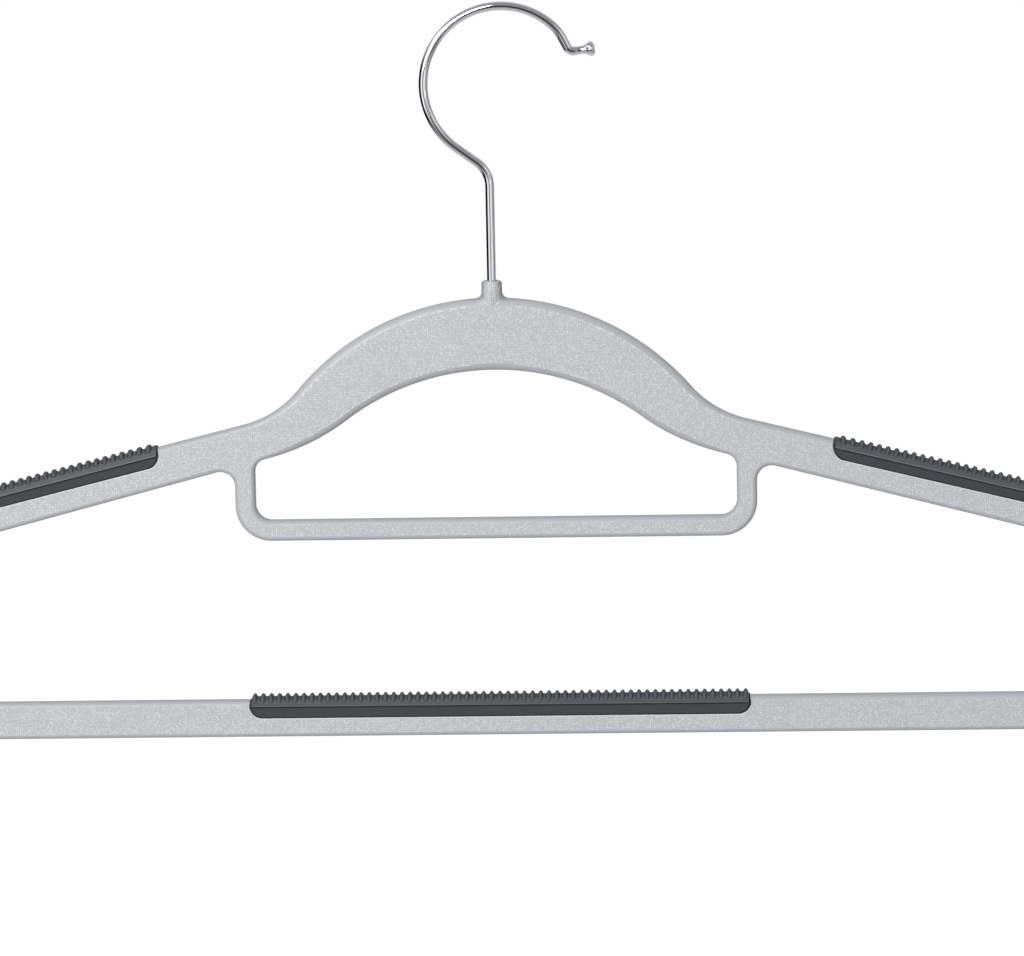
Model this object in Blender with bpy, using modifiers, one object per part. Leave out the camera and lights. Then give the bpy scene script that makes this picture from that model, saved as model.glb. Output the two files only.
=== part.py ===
"""Moulded clothes hanger: a wire hook that swivels in a one-piece frame with three rubber grips.

Metres, +Z up, front face towards -Y, +X to the right as seen from the front.
The origin is the point under the crown of the hook, where it rests on the rail.
The hook hangs on the rail, so the frame is parented to the axis that it turns about.
"""

import math

import bmesh
import bpy
from mathutils import Vector

MM = 0.001

# Hook
WIRE_DIAMETER = 2.9 * MM
LOOP_INNER_RADIUS = 23.65 * MM
LOOP_OFFSET = 4.3 * MM
LEG_SLOPE = math.radians(36.0)
STEM_BEND_RADIUS = 9.6 * MM
NOSE_START = math.radians(42.0)
NOSE_END = math.radians(63.0)
NOSE_RADIUS = 14.0 * MM
NOSE_STRAIGHT = 3.5 * MM
TIP_BEND_RADIUS = 2.2 * MM
TIP_RISE = math.radians(7.0)
TIP_LENGTH = 6.7 * MM
TIP_NECK_DIAMETER = 2.6 * MM
TIP_HEAD_DIAMETER = 4.8 * MM
TIP_END_DIAMETER = 3.8 * MM
TIP_HEAD_LENGTH = 1.6 * MM
TIP_FLARE_LENGTH = 2.6 * MM
STEM_HEAD_DIAMETER = 4.4 * MM
STEM_HEAD_HEIGHT = 1.6 * MM
STEM_HEAD_SLOPE = 0.3 * MM

# Collar that the hook turns in
RAIL_TO_COLLAR = 86.9 * MM
COLLAR_DIAMETER = 6.84 * MM
COLLAR_RISE = 5.6 * MM
COLLAR_RIM_RADIUS = 0.5 * MM
COLLAR_FLOOR = 0.8 * MM
COLLAR_TAPER_HEIGHT = 3.4 * MM
COLLAR_TAPER_DIAMETER = 4.0 * MM
COLLAR_FILLET = 1.8 * MM
COLLAR_NECK_LENGTH = 4.6 * MM
WEB_INSIDE_COLLAR = 0.25 * MM
WEB_BELOW_RIM = 1.5 * MM
SWIVEL_CLEARANCE = 0.3 * MM

# Frame
FRAME_THICKNESS = 5.5 * MM
HALF_WIDTH = 210.0 * MM
HUMP_DEPTH = 23.5 * MM
HUMP_TOP_RADIUS = 84.0 * MM
HUMP_TOP_BLEND = 34.0 * MM
HUMP_UNDERSIDE_RADIUS = 80.4 * MM
HUMP_UNDERSIDE_BLEND = 70.0 * MM
ARM_TOP_SLOPE = math.radians(13.85)
ARM_TOP_DROP = 20.4 * MM
ARM_UNDERSIDE_SLOPE = math.radians(14.6)
ARM_UNDERSIDE_DROP = 32.2 * MM
END_DEPTH = 12.4 * MM
SHOULDER_INNER_RADIUS = 19.0 * MM
LOWER_INNER_RADIUS = 22.0 * MM
TROUSER_OPENING_HEIGHT = 52.8 * MM
BAR_DEPTH = 12.1 * MM
CENTRE_LOOP_HALF_WIDTH = 84.85 * MM
CENTRE_COLUMN_WIDTH = 6.55 * MM
CENTRE_OPENING_HEIGHT = 48.35 * MM
CENTRE_BAR_DEPTH = 6.7 * MM
CENTRE_INNER_RADIUS = 5.2 * MM
CENTRE_OUTER_RADIUS = 11.6 * MM
CENTRE_SHOULDER_RADIUS = 4.2 * MM
CENTRE_ROOT_RADIUS = 4.8 * MM
HUMP_EDGE_FLAT = 0.3 * MM
EDGE_ROUNDING = 1.5 * MM
ROUNDING_CHANGE_START = 60.0 * MM
ROUNDING_CHANGE_END = 78.0 * MM
ROUNDING_SEGMENTS = 3

# Rubber grips, with heights measured from the frame's top edge
GRIP_BOTTOM_DEPTH = 5.8 * MM
GRIP_CREASE_DEPTH = 2.3 * MM
GRIP_SHOULDER_DEPTH = 0.3 * MM
GRIP_VALLEY_HEIGHT = 0.65 * MM
GRIP_BOTTOM_PROUD = 0.05 * MM
GRIP_CREASE_PROUD = 0.6 * MM
GRIP_SHOULDER_INSET = 0.2 * MM
GRIP_CROWN_HALF_WIDTH = 1.6 * MM
GRIP_CROWN_DROP = 0.25 * MM
GRIP_CORNER_RADIUS = 3.3 * MM
GRIP_WALL = 1.25 * MM
CORE_TOP_DEPTH = 1.2 * MM
SEAT_CLEARANCE = 0.3 * MM
RIB_HEIGHT = 0.95 * MM
RIB_SIDE_HEIGHT = 0.35 * MM
RIB_FOOT_DEPTH = 1.4 * MM
RIB_CREST_WIDTH = 0.5 * MM
RIB_BASE_WIDTH = 1.8 * MM
SHOULDER_GRIP_START = 110.2 * MM
SHOULDER_GRIP_TO_END_CURVE = 2.5 * MM
SHOULDER_RIB_PITCH = 2.875 * MM
SHOULDER_RIB_MARGIN = 3.1 * MM
BAR_GRIP_ROOM = 164.5 * MM
BAR_RIB_PITCH = 2.676 * MM
BAR_RIB_MARGIN = 1.5 * MM

# Fineness of the model
CHORD_ERROR = 0.04 * MM
SHARP_ANGLE = math.radians(30.0)
WELD_DISTANCE = 0.001 * MM
WIRE_RINGS = 4
TURNED_STEPS = 32

# Places that follow from the sizes above
WIRE_RADIUS = WIRE_DIAMETER / 2
LOOP_RADIUS = LOOP_INNER_RADIUS + WIRE_RADIUS
STEM_X = -LOOP_OFFSET
COLLAR_RADIUS = COLLAR_DIAMETER / 2
COLLAR_TOP = -RAIL_TO_COLLAR
NECK_BOTTOM = COLLAR_TOP - COLLAR_NECK_LENGTH
HEAD_TOP = NECK_BOTTOM - SWIVEL_CLEARANCE
HEAD_BOTTOM = HEAD_TOP - STEM_HEAD_HEIGHT
POCKET_BOTTOM = HEAD_BOTTOM - SWIVEL_CLEARANCE
COLLAR_BOTTOM = POCKET_BOTTOM - COLLAR_FLOOR
HALF_THICKNESS = FRAME_THICKNESS / 2
HUMP_ROUNDING = (FRAME_THICKNESS - HUMP_EDGE_FLAT) / 2
HUMP_TOP = COLLAR_TOP - COLLAR_RISE
HUMP_UNDERSIDE = HUMP_TOP - HUMP_DEPTH
HUMP_TOP_CENTRE = Vector((0.0, HUMP_TOP - HUMP_TOP_RADIUS))
HUMP_UNDERSIDE_CENTRE = Vector((0.0, HUMP_UNDERSIDE - HUMP_UNDERSIDE_RADIUS))
ARM_TOP = (HUMP_TOP - ARM_TOP_DROP, ARM_TOP_SLOPE)
ARM_UNDERSIDE = (HUMP_TOP - ARM_UNDERSIDE_DROP, ARM_UNDERSIDE_SLOPE)
CENTRE_BAR_TOP = HUMP_UNDERSIDE - CENTRE_OPENING_HEIGHT
CENTRE_BAR_BOTTOM = CENTRE_BAR_TOP - CENTRE_BAR_DEPTH
BAR_TOP = CENTRE_BAR_BOTTOM - TROUSER_OPENING_HEIGHT
BAR_BOTTOM = BAR_TOP - BAR_DEPTH
CENTRE_INNER_HALF_WIDTH = CENTRE_LOOP_HALF_WIDTH - CENTRE_COLUMN_WIDTH
SHOULDER_RADIUS = SHOULDER_INNER_RADIUS + END_DEPTH
LOWER_RADIUS = LOWER_INNER_RADIUS + END_DEPTH
END_INNER = HALF_WIDTH - END_DEPTH
END_CURVE_START = HALF_WIDTH - SHOULDER_RADIUS * (1 - math.sin(ARM_TOP_SLOPE))
SHOULDER_GRIP_END = END_CURVE_START - SHOULDER_GRIP_TO_END_CURVE
SHOULDER_GRIP_ROOM = (SHOULDER_GRIP_END - SHOULDER_GRIP_START) / math.cos(ARM_TOP_SLOPE)
SHOULDER_RIB_ROOM = SHOULDER_GRIP_ROOM - 2 * SHOULDER_RIB_MARGIN
SHOULDER_RIBS = int(SHOULDER_RIB_ROOM / SHOULDER_RIB_PITCH) + 1
SHOULDER_GRIP_LENGTH = (SHOULDER_RIBS - 1) * SHOULDER_RIB_PITCH + 2 * SHOULDER_RIB_MARGIN
BAR_RIBS = int((BAR_GRIP_ROOM - 2 * BAR_RIB_MARGIN) / BAR_RIB_PITCH) + 1
BAR_GRIP_LENGTH = (BAR_RIBS - 1) * BAR_RIB_PITCH + 2 * BAR_RIB_MARGIN
CORE_HALF_THICKNESS = HALF_THICKNESS + GRIP_BOTTOM_PROUD - GRIP_WALL - SEAT_CLEARANCE
GRIP_INNER_HALF_WIDTH = CORE_HALF_THICKNESS + SEAT_CLEARANCE


def clear_scene():
    for thing in list(bpy.data.objects):
        bpy.data.objects.remove(thing, do_unlink=True)


def collection(name):
    group = bpy.data.collections.new(name)
    bpy.context.scene.collection.children.link(group)
    return group


def material(name, colour, roughness, metallic=0.0):
    made = bpy.data.materials.new(name)
    made.use_nodes = True
    shader = made.node_tree.nodes["Principled BSDF"]
    shader.inputs["Base Color"].default_value = (*colour, 1.0)
    shader.inputs["Roughness"].default_value = roughness
    shader.inputs["Metallic"].default_value = metallic
    return made


def arc(centre, radius, start, end):
    """Points from angle start to angle end, close enough to the true arc for CHORD_ERROR."""
    step = 2 * math.acos(1 - CHORD_ERROR / radius)
    count = max(2, math.ceil(abs(end - start) / step))
    angles = [start + (end - start) * i / count for i in range(count + 1)]
    return [centre + radius * Vector((math.cos(a), math.sin(a))) for a in angles]


def heading(vector):
    return math.atan2(vector.y, vector.x)


def rounded_corner(before, corner, after, radius):
    """The arc that rounds one corner of an outline."""
    back = (before - corner).normalized()
    ahead = (after - corner).normalized()
    half = back.angle(ahead) / 2
    centre = corner + (back + ahead).normalized() * radius / math.sin(half)
    start = heading(corner + back * radius / math.tan(half) - centre)
    turn = math.pi - 2 * half
    if back.x * ahead.y - back.y * ahead.x > 0:
        turn = -turn
    return arc(centre, radius, start, start + turn)


def rounded_path(corners):
    """Points along straight runs whose corners are (point, radius); a radius of 0 stays sharp."""
    points = []
    for i, (point, radius) in enumerate(corners):
        if radius:
            points += rounded_corner(corners[i - 1][0], point, corners[i + 1][0], radius)
        else:
            points.append(point)
    return points


def slope_directions(slope):
    """The way along a falling edge, and the way straight up from it."""
    along = Vector((math.cos(slope), -math.sin(slope)))
    return along, Vector((-along.y, along.x))


def hump_edge(centre, radius, blend, arm_edge, start):
    """One edge of the hump: its arc from angle start, then the blend that meets the arm's edge."""
    height, slope = arm_edge
    along, up = slope_directions(slope)
    rise = (Vector((0.0, height)) - centre).dot(up)
    reach = math.sqrt((radius + blend) ** 2 - (rise + blend) ** 2)
    blend_centre = centre + up * (rise + blend) + along * reach
    meet = heading(blend_centre - centre)
    return arc(centre, radius, start, meet)[:-1] + arc(
        blend_centre, blend, meet - math.pi, heading(-up)
    )


def arm_edge_at(arm_edge, x):
    height, slope = arm_edge
    return Vector((x, height - x * math.tan(slope)))


def both_sides(half):
    """Close an outline drawn from the top centre to the bottom centre on the +X side."""
    mirrored = [Vector((-p.x, p.y)) for p in reversed(half) if p.x > WELD_DISTANCE]
    return half + mirrored


def outer_outline():
    web = COLLAR_RADIUS - WEB_INSIDE_COLLAR
    web_top = COLLAR_TOP - WEB_BELOW_RIM
    fillet_x = web + COLLAR_FILLET
    reach = HUMP_TOP_RADIUS + COLLAR_FILLET
    fillet_centre = Vector((fillet_x, HUMP_TOP_CENTRE.y + math.sqrt(reach**2 - fillet_x**2)))
    meet = heading(fillet_centre - HUMP_TOP_CENTRE)
    outer = [Vector((web, web_top))]
    outer += arc(fillet_centre, COLLAR_FILLET, math.pi, meet + math.pi)[:-1]
    outer += hump_edge(HUMP_TOP_CENTRE, HUMP_TOP_RADIUS, HUMP_TOP_BLEND, ARM_TOP, meet)
    outer += rounded_path(
        [
            (arm_edge_at(ARM_TOP, HALF_WIDTH / 2), 0),
            (arm_edge_at(ARM_TOP, HALF_WIDTH), SHOULDER_RADIUS),
            (Vector((HALF_WIDTH, BAR_BOTTOM)), LOWER_RADIUS),
            (Vector((0.0, BAR_BOTTOM)), 0),
        ]
    )[1:-1]
    return both_sides(outer)


def trouser_opening_outline():
    inner = rounded_path(
        [
            (Vector((0.0, CENTRE_BAR_BOTTOM)), 0),
            (Vector((CENTRE_LOOP_HALF_WIDTH, CENTRE_BAR_BOTTOM)), CENTRE_OUTER_RADIUS),
            (arm_edge_at(ARM_UNDERSIDE, CENTRE_LOOP_HALF_WIDTH), CENTRE_ROOT_RADIUS),
            (arm_edge_at(ARM_UNDERSIDE, END_INNER), SHOULDER_INNER_RADIUS),
            (Vector((END_INNER, BAR_TOP)), LOWER_INNER_RADIUS),
            (Vector((0.0, BAR_TOP)), 0),
        ]
    )
    return both_sides(inner[1:-1])


def centre_opening_outline():
    crown = math.radians(90.0)
    under = hump_edge(
        HUMP_UNDERSIDE_CENTRE,
        HUMP_UNDERSIDE_RADIUS,
        HUMP_UNDERSIDE_BLEND,
        ARM_UNDERSIDE,
        crown,
    )
    corner = arm_edge_at(ARM_UNDERSIDE, CENTRE_INNER_HALF_WIDTH)
    first_free = corner.x - CENTRE_SHOULDER_RADIUS
    under = [p for p in under if p.x < first_free]
    under += rounded_path(
        [
            (under[-1], 0),
            (corner, CENTRE_SHOULDER_RADIUS),
            (Vector((CENTRE_INNER_HALF_WIDTH, CENTRE_BAR_TOP)), CENTRE_INNER_RADIUS),
            (Vector((0.0, CENTRE_BAR_TOP)), 0),
        ]
    )[1:-1]
    return both_sides(under)


def add_object(name, data, group, parent=None):
    thing = bpy.data.objects.new(name, data)
    group.objects.link(thing)
    thing.parent = parent
    return thing


def add_empty(name, group, location, tilt=0.0, parent=None):
    empty = add_object(name, None, group, parent)
    empty.location = location
    empty.rotation_euler = (0.0, tilt, 0.0)
    return empty


def as_mesh(curve_object, group):
    """Replace a curve object by a welded mesh object of the same name and place."""
    bpy.context.view_layer.update()
    graph = bpy.context.evaluated_depsgraph_get()
    mesh = bpy.data.meshes.new_from_object(curve_object.evaluated_get(graph))
    form = bmesh.new()
    form.from_mesh(mesh)
    bmesh.ops.remove_doubles(form, verts=form.verts, dist=WELD_DISTANCE)
    bmesh.ops.recalc_face_normals(form, faces=form.faces)
    form.to_mesh(mesh)
    form.free()
    name = curve_object.name
    place = curve_object.matrix_world.copy()
    parent = curve_object.parent
    bpy.data.objects.remove(curve_object, do_unlink=True)
    made = add_object(name, mesh, group, parent)
    made.matrix_world = place
    return made


def flat_solid(name, outlines, half_depth, group, parent=None, turn=0.0, bevel=0.0):
    """A slab of half_depth each way from closed outlines in X and Z, turned about Z by turn."""
    curve = bpy.data.curves.new(name, "CURVE")
    curve.dimensions = "2D"
    curve.fill_mode = "BOTH"
    curve.extrude = half_depth - bevel
    curve.bevel_depth = bevel
    curve.offset = -bevel
    curve.bevel_resolution = 0
    for outline in outlines:
        spline = curve.splines.new("POLY")
        spline.points.add(len(outline) - 1)
        for point, place in zip(spline.points, outline):
            point.co = (place.x, place.y, 0.0, 1.0)
        spline.use_cyclic_u = True
    slab = add_object(name, curve, group, parent)
    slab.rotation_euler = (math.radians(90.0), 0.0, turn)
    return as_mesh(slab, group)


def hide_as_cutter(thing):
    thing.hide_render = True
    thing.display_type = "WIRE"
    return thing


def join(target, other, operation):
    modifier = target.modifiers.new(f"{operation.lower()}_{other.name}", "BOOLEAN")
    modifier.operation = operation
    modifier.object = other


def turned_solid(name, profile, group, parent=None):
    """A solid of revolution about Z from (radius, height) points, listed from top to bottom."""
    mesh = bpy.data.meshes.new(name)
    points = [(radius, 0.0, height) for radius, height in profile]
    mesh.from_pydata(points, [(i, i + 1) for i in range(len(points) - 1)], [])
    turned = add_object(name, mesh, group, parent)
    screw = turned.modifiers.new("turn", "SCREW")
    screw.axis = "Z"
    screw.steps = TURNED_STEPS
    screw.render_steps = TURNED_STEPS
    screw.use_merge_vertices = True
    screw.merge_threshold = WELD_DISTANCE
    return turned


def finish(thing, look):
    thing.data.materials.append(look)
    thing.data.shade_smooth()
    thing.data.set_sharp_from_angle(angle=SHARP_ANGLE)


def hook_path():
    """Points and radii along the wire, from the tip over the crown to the head in the collar."""
    centre = Vector((0.0, -LOOP_INNER_RADIUS))
    nose_begin = math.radians(90.0) - NOSE_START
    nose_finish = math.radians(90.0) - NOSE_END
    nose_centre = centre + (LOOP_RADIUS - NOSE_RADIUS) * Vector(
        (math.cos(nose_begin), math.sin(nose_begin))
    )
    loop_end = math.radians(270.0) - LEG_SLOPE
    bend_turn = math.radians(90.0) - LEG_SLOPE
    crown = math.radians(90.0)

    leg_start = centre + LOOP_RADIUS * Vector((math.cos(loop_end), math.sin(loop_end)))
    bend_x = STEM_X - STEM_BEND_RADIUS * (1 - math.cos(bend_turn))
    bend_z = leg_start.y - (bend_x - leg_start.x) * math.tan(LEG_SLOPE)
    bend_centre = Vector(
        (STEM_X - STEM_BEND_RADIUS, bend_z - STEM_BEND_RADIUS * math.sin(bend_turn))
    )

    nose = arc(nose_centre, NOSE_RADIUS, nose_finish, nose_begin)
    down = Vector((math.cos(NOSE_END), -math.sin(NOSE_END)))
    out = Vector((math.sin(NOSE_END), math.cos(NOSE_END)))
    straight_end = nose[0] + down * NOSE_STRAIGHT
    tip_centre = straight_end + out * TIP_BEND_RADIUS
    tip_bend = arc(
        tip_centre, TIP_BEND_RADIUS, TIP_RISE - math.radians(90.0), heading(-out)
    )
    tip_along = Vector((math.cos(TIP_RISE), math.sin(TIP_RISE)))
    tip_end = tip_bend[0] + tip_along * TIP_LENGTH
    flare_end = TIP_HEAD_LENGTH + TIP_FLARE_LENGTH
    tip = [
        (tip_end, TIP_END_DIAMETER),
        (tip_end - tip_along * TIP_HEAD_LENGTH / 2, TIP_HEAD_DIAMETER),
        (tip_end - tip_along * TIP_HEAD_LENGTH, TIP_HEAD_DIAMETER),
        (tip_end - tip_along * (TIP_HEAD_LENGTH + TIP_FLARE_LENGTH / 2), WIRE_DIAMETER),
        (tip_end - tip_along * flare_end, TIP_NECK_DIAMETER),
    ]
    wire = tip_bend + [straight_end] + nose
    wire += arc(centre, LOOP_RADIUS, nose_begin, crown)[1:]
    wire += arc(centre, LOOP_RADIUS, crown, loop_end)[1:]
    wire += arc(bend_centre, STEM_BEND_RADIUS, bend_turn, 0.0)
    wire.append(Vector((STEM_X, HEAD_TOP + STEM_HEAD_SLOPE)))
    head = [
        (Vector((STEM_X, HEAD_TOP)), STEM_HEAD_DIAMETER),
        (Vector((STEM_X, HEAD_BOTTOM)), STEM_HEAD_DIAMETER),
    ]
    return tip + [(point, WIRE_DIAMETER) for point in wire] + head


def make_hook(group, look):
    path = hook_path()
    curve = bpy.data.curves.new("hook", "CURVE")
    curve.dimensions = "3D"
    curve.bevel_depth = WIRE_RADIUS
    curve.bevel_resolution = WIRE_RINGS
    curve.use_fill_caps = True
    spline = curve.splines.new("POLY")
    spline.points.add(len(path) - 1)
    for point, (place, diameter) in zip(spline.points, path):
        point.co = (place.x, 0.0, place.y, 1.0)
        point.radius = diameter / WIRE_DIAMETER
    hook = as_mesh(add_object("hook", curve, group), group)
    finish(hook, look)
    return hook


def collar_profile():
    rim = Vector((COLLAR_RADIUS - COLLAR_RIM_RADIUS, COLLAR_TOP - COLLAR_RIM_RADIUS))
    taper_bottom = COLLAR_BOTTOM - COLLAR_TAPER_HEIGHT
    profile = [Vector((0.0, COLLAR_TOP))]
    profile += arc(rim, COLLAR_RIM_RADIUS, math.radians(90.0), 0.0)
    profile += [
        Vector((COLLAR_RADIUS, COLLAR_BOTTOM)),
        Vector((COLLAR_TAPER_DIAMETER / 2, taper_bottom)),
        Vector((0.0, taper_bottom)),
    ]
    return profile


def bore_profile():
    bore = WIRE_RADIUS + SWIVEL_CLEARANCE
    pocket = STEM_HEAD_DIAMETER / 2 + SWIVEL_CLEARANCE
    above = COLLAR_TOP + SWIVEL_CLEARANCE
    return [
        Vector((0.0, above)),
        Vector((bore, above)),
        Vector((bore, NECK_BOTTOM + STEM_HEAD_SLOPE)),
        Vector((pocket, NECK_BOTTOM)),
        Vector((pocket, POCKET_BOTTOM)),
        Vector((0.0, POCKET_BOTTOM)),
    ]


def rounding_at(x, z):
    """Radius of the edge at a place on the outline: full on the hump, small elsewhere."""
    if z < CENTRE_BAR_TOP + CENTRE_INNER_RADIUS:
        return EDGE_ROUNDING
    span = ROUNDING_CHANGE_END - ROUNDING_CHANGE_START
    share = min(1.0, max(0.0, (abs(x) - ROUNDING_CHANGE_START) / span))
    share = share * share * (3 - 2 * share)
    return HUMP_ROUNDING + (EDGE_ROUNDING - HUMP_ROUNDING) * share


def rim_profile(radius):
    """Inset and depth of each row round the slab's edge, from the front face to the back face."""
    flat = HALF_THICKNESS - radius
    turns = [math.radians(90.0) * i / ROUNDING_SEGMENTS for i in range(ROUNDING_SEGMENTS + 1)]
    front = [
        (radius * (1 - math.cos(turn)), -flat - radius * math.sin(turn)) for turn in reversed(turns)
    ]
    return front + [(inset, -depth) for inset, depth in reversed(front)]


def directions_into_slab(outline, is_opening):
    """For each point of an outline, the step that moves both its edges inwards by one unit."""
    around = zip(outline, outline[1:] + outline[:1])
    area = sum(p.x * q.y - q.x * p.y for p, q in around)
    side = 1.0 if (area > 0) != is_opening else -1.0
    steps = []
    for i, point in enumerate(outline):
        before = (point - outline[i - 1]).normalized()
        after = (outline[(i + 1) % len(outline)] - point).normalized()
        normals = Vector((-before.y - after.y, before.x + after.x))
        steps.append(normals * side / (1 + before.dot(after)))
    return steps


def rounded_slab(name, outlines, group, parent):
    """A slab whose edge radius changes along its outlines, so its rim is lofted row by row."""
    form = bmesh.new()
    rims = {0: [], -1: []}
    for number, outline in enumerate(outlines):
        steps = directions_into_slab(outline, number > 0)
        columns = []
        for point, step in zip(outline, steps):
            profile = rim_profile(rounding_at(point.x, point.y))
            places = [(point + step * inset, depth) for inset, depth in profile]
            columns.append([form.verts.new((place.x, depth, place.y)) for place, depth in places])
        for left, right in zip(columns, columns[1:] + columns[:1]):
            for row in range(len(left) - 1):
                form.faces.new((left[row], right[row], right[row + 1], left[row + 1]))
            for row, rim in rims.items():
                rim.append(form.edges.get((left[row], right[row])))
    for rim in rims.values():
        bmesh.ops.triangle_fill(form, use_beauty=True, use_dissolve=False, edges=rim)
    bmesh.ops.recalc_face_normals(form, faces=form.faces)
    mesh = bpy.data.meshes.new(name)
    form.to_mesh(mesh)
    form.free()
    return add_object(name, mesh, group, parent)


def make_frame(group, cutters, swivel, look):
    outlines = [outer_outline(), trouser_opening_outline(), centre_opening_outline()]
    frame = rounded_slab("hanger_frame", outlines, group, swivel)
    collar = hide_as_cutter(turned_solid("collar_body", collar_profile(), cutters, swivel))
    bore = hide_as_cutter(turned_solid("collar_bore", bore_profile(), cutters, swivel))
    join(frame, collar, "UNION")
    join(frame, bore, "DIFFERENCE")
    finish(frame, look)
    return frame


def side_outline(length, grow):
    """The grip as seen from the front, with its lower corners round, grown by grow all round."""
    half = length / 2 + grow
    top = RIB_HEIGHT + GRIP_VALLEY_HEIGHT + grow
    bottom = -GRIP_BOTTOM_DEPTH - grow
    radius = GRIP_CORNER_RADIUS + grow
    corners = [
        (Vector((0.0, top)), 0),
        (Vector((half, top)), 0),
        (Vector((half, bottom)), radius),
        (Vector((0.0, bottom)), 0),
    ]
    return both_sides(rounded_path(corners)[1:-1])


def saddle_section():
    """Cross-section of the saddle without its slot, as half-width and height."""
    crown = GRIP_VALLEY_HEIGHT
    half = [
        Vector((0.0, crown)),
        Vector((GRIP_CROWN_HALF_WIDTH, crown - GRIP_CROWN_DROP)),
        Vector((HALF_THICKNESS - GRIP_SHOULDER_INSET, -GRIP_SHOULDER_DEPTH)),
        Vector((HALF_THICKNESS + GRIP_CREASE_PROUD, -GRIP_CREASE_DEPTH)),
        Vector((HALF_THICKNESS + GRIP_BOTTOM_PROUD, -GRIP_BOTTOM_DEPTH)),
    ]
    return both_sides(half)


def rib_section():
    """Outline of one rib across the saddle; its foot lies inside the saddle."""
    crest = GRIP_VALLEY_HEIGHT + RIB_HEIGHT
    shoulder = HALF_THICKNESS - GRIP_SHOULDER_INSET
    half = [
        Vector((GRIP_CROWN_HALF_WIDTH, crest)),
        Vector((shoulder + RIB_SIDE_HEIGHT, 0.0)),
        Vector((shoulder - RIB_SIDE_HEIGHT, -RIB_FOOT_DEPTH)),
    ]
    return both_sides(half)


def make_rib_row(name, count, pitch, cutters, seat):
    rib = flat_solid(
        name,
        [rib_section()],
        RIB_BASE_WIDTH / 2,
        cutters,
        seat,
        turn=math.radians(90.0),
        bevel=(RIB_BASE_WIDTH - RIB_CREST_WIDTH) / 2,
    )
    rib.location.x = -pitch * (count - 1) / 2
    row = rib.modifiers.new("row", "ARRAY")
    row.count = count
    row.use_relative_offset = False
    row.use_constant_offset = True
    row.constant_offset_displace = (0.0, 0.0, pitch)
    return hide_as_cutter(rib)


def box(name, low, high, group, parent=None):
    bpy.ops.mesh.primitive_cube_add(size=1.0)
    made = bpy.context.active_object
    made.name = name
    for user in list(made.users_collection):
        user.objects.unlink(made)
    group.objects.link(made)
    low = Vector(low)
    high = Vector(high)
    for vertex in made.data.vertices:
        vertex.co = [(low[i] + high[i]) / 2 + vertex.co[i] * (high[i] - low[i]) for i in range(3)]
    made.parent = parent
    return made


def make_grip(name, length, count, pitch, group, cutters, seat, frame, look):
    """One ribbed saddle, and the recess for it in the frame."""
    grip = flat_solid(name, [side_outline(length, 0.0)], FRAME_THICKNESS, group, seat)
    section = flat_solid(
        f"{name}_section", [saddle_section()], length, cutters, seat, turn=math.radians(90.0)
    )
    slot_low = (-length, -GRIP_INNER_HALF_WIDTH, -GRIP_BOTTOM_DEPTH - GRIP_WALL)
    slot_high = (length, GRIP_INNER_HALF_WIDTH, -CORE_TOP_DEPTH + SEAT_CLEARANCE)
    slot = box(f"{name}_slot", slot_low, slot_high, cutters, seat)
    ribs = make_rib_row(f"{name}_ribs", count, pitch, cutters, seat)
    join(grip, hide_as_cutter(section), "INTERSECT")
    join(grip, ribs, "UNION")
    join(grip, hide_as_cutter(slot), "DIFFERENCE")
    finish(grip, look)

    recess = flat_solid(
        f"{name}_recess", [side_outline(length, SEAT_CLEARANCE)], FRAME_THICKNESS, cutters, seat
    )
    core_low = (-length, -CORE_HALF_THICKNESS, -GRIP_BOTTOM_DEPTH - GRIP_WALL)
    core_high = (length, CORE_HALF_THICKNESS, -CORE_TOP_DEPTH)
    core = hide_as_cutter(box(f"{name}_core", core_low, core_high, cutters, seat))
    join(recess, core, "DIFFERENCE")
    join(frame, hide_as_cutter(recess), "DIFFERENCE")
    return grip


def make_hanger():
    clear_scene()
    parts = collection("clothes_hanger")
    cutters = collection("cutters")
    chrome = material("chrome_wire", (0.72, 0.73, 0.75), 0.12, 1.0)
    plastic = material("grey_plastic", (0.53, 0.54, 0.57), 0.5)
    rubber = material("dark_rubber", (0.07, 0.075, 0.085), 0.62)

    make_hook(parts, chrome)
    swivel = add_empty("hook_swivel_axis", parts, (STEM_X, 0.0, 0.0))
    frame = make_frame(parts, cutters, swivel, plastic)

    along, _ = slope_directions(ARM_TOP_SLOPE)
    middle = arm_edge_at(ARM_TOP, SHOULDER_GRIP_START) + along * SHOULDER_GRIP_LENGTH / 2
    for name, side in (("left_shoulder_grip", -1), ("right_shoulder_grip", 1)):
        seat = add_empty(
            f"{name}_seat", parts, (side * middle.x, 0.0, middle.y), side * ARM_TOP_SLOPE, swivel
        )
        make_grip(
            name,
            SHOULDER_GRIP_LENGTH,
            SHOULDER_RIBS,
            SHOULDER_RIB_PITCH,
            parts,
            cutters,
            seat,
            frame,
            rubber,
        )
    seat = add_empty("trouser_bar_grip_seat", parts, (0.0, 0.0, BAR_TOP), 0.0, swivel)
    make_grip(
        "trouser_bar_grip",
        BAR_GRIP_LENGTH,
        BAR_RIBS,
        BAR_RIB_PITCH,
        parts,
        cutters,
        seat,
        frame,
        rubber,
    )


make_hanger()
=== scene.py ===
"""Looks of the clothes hanger: chrome wire hook, stippled grey moulding, ribbed rubber grips."""

import math

import bmesh
import bpy
from bmesh.types import BMEdge, BMFace, BMVert
from mathutils import Matrix, Vector


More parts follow.
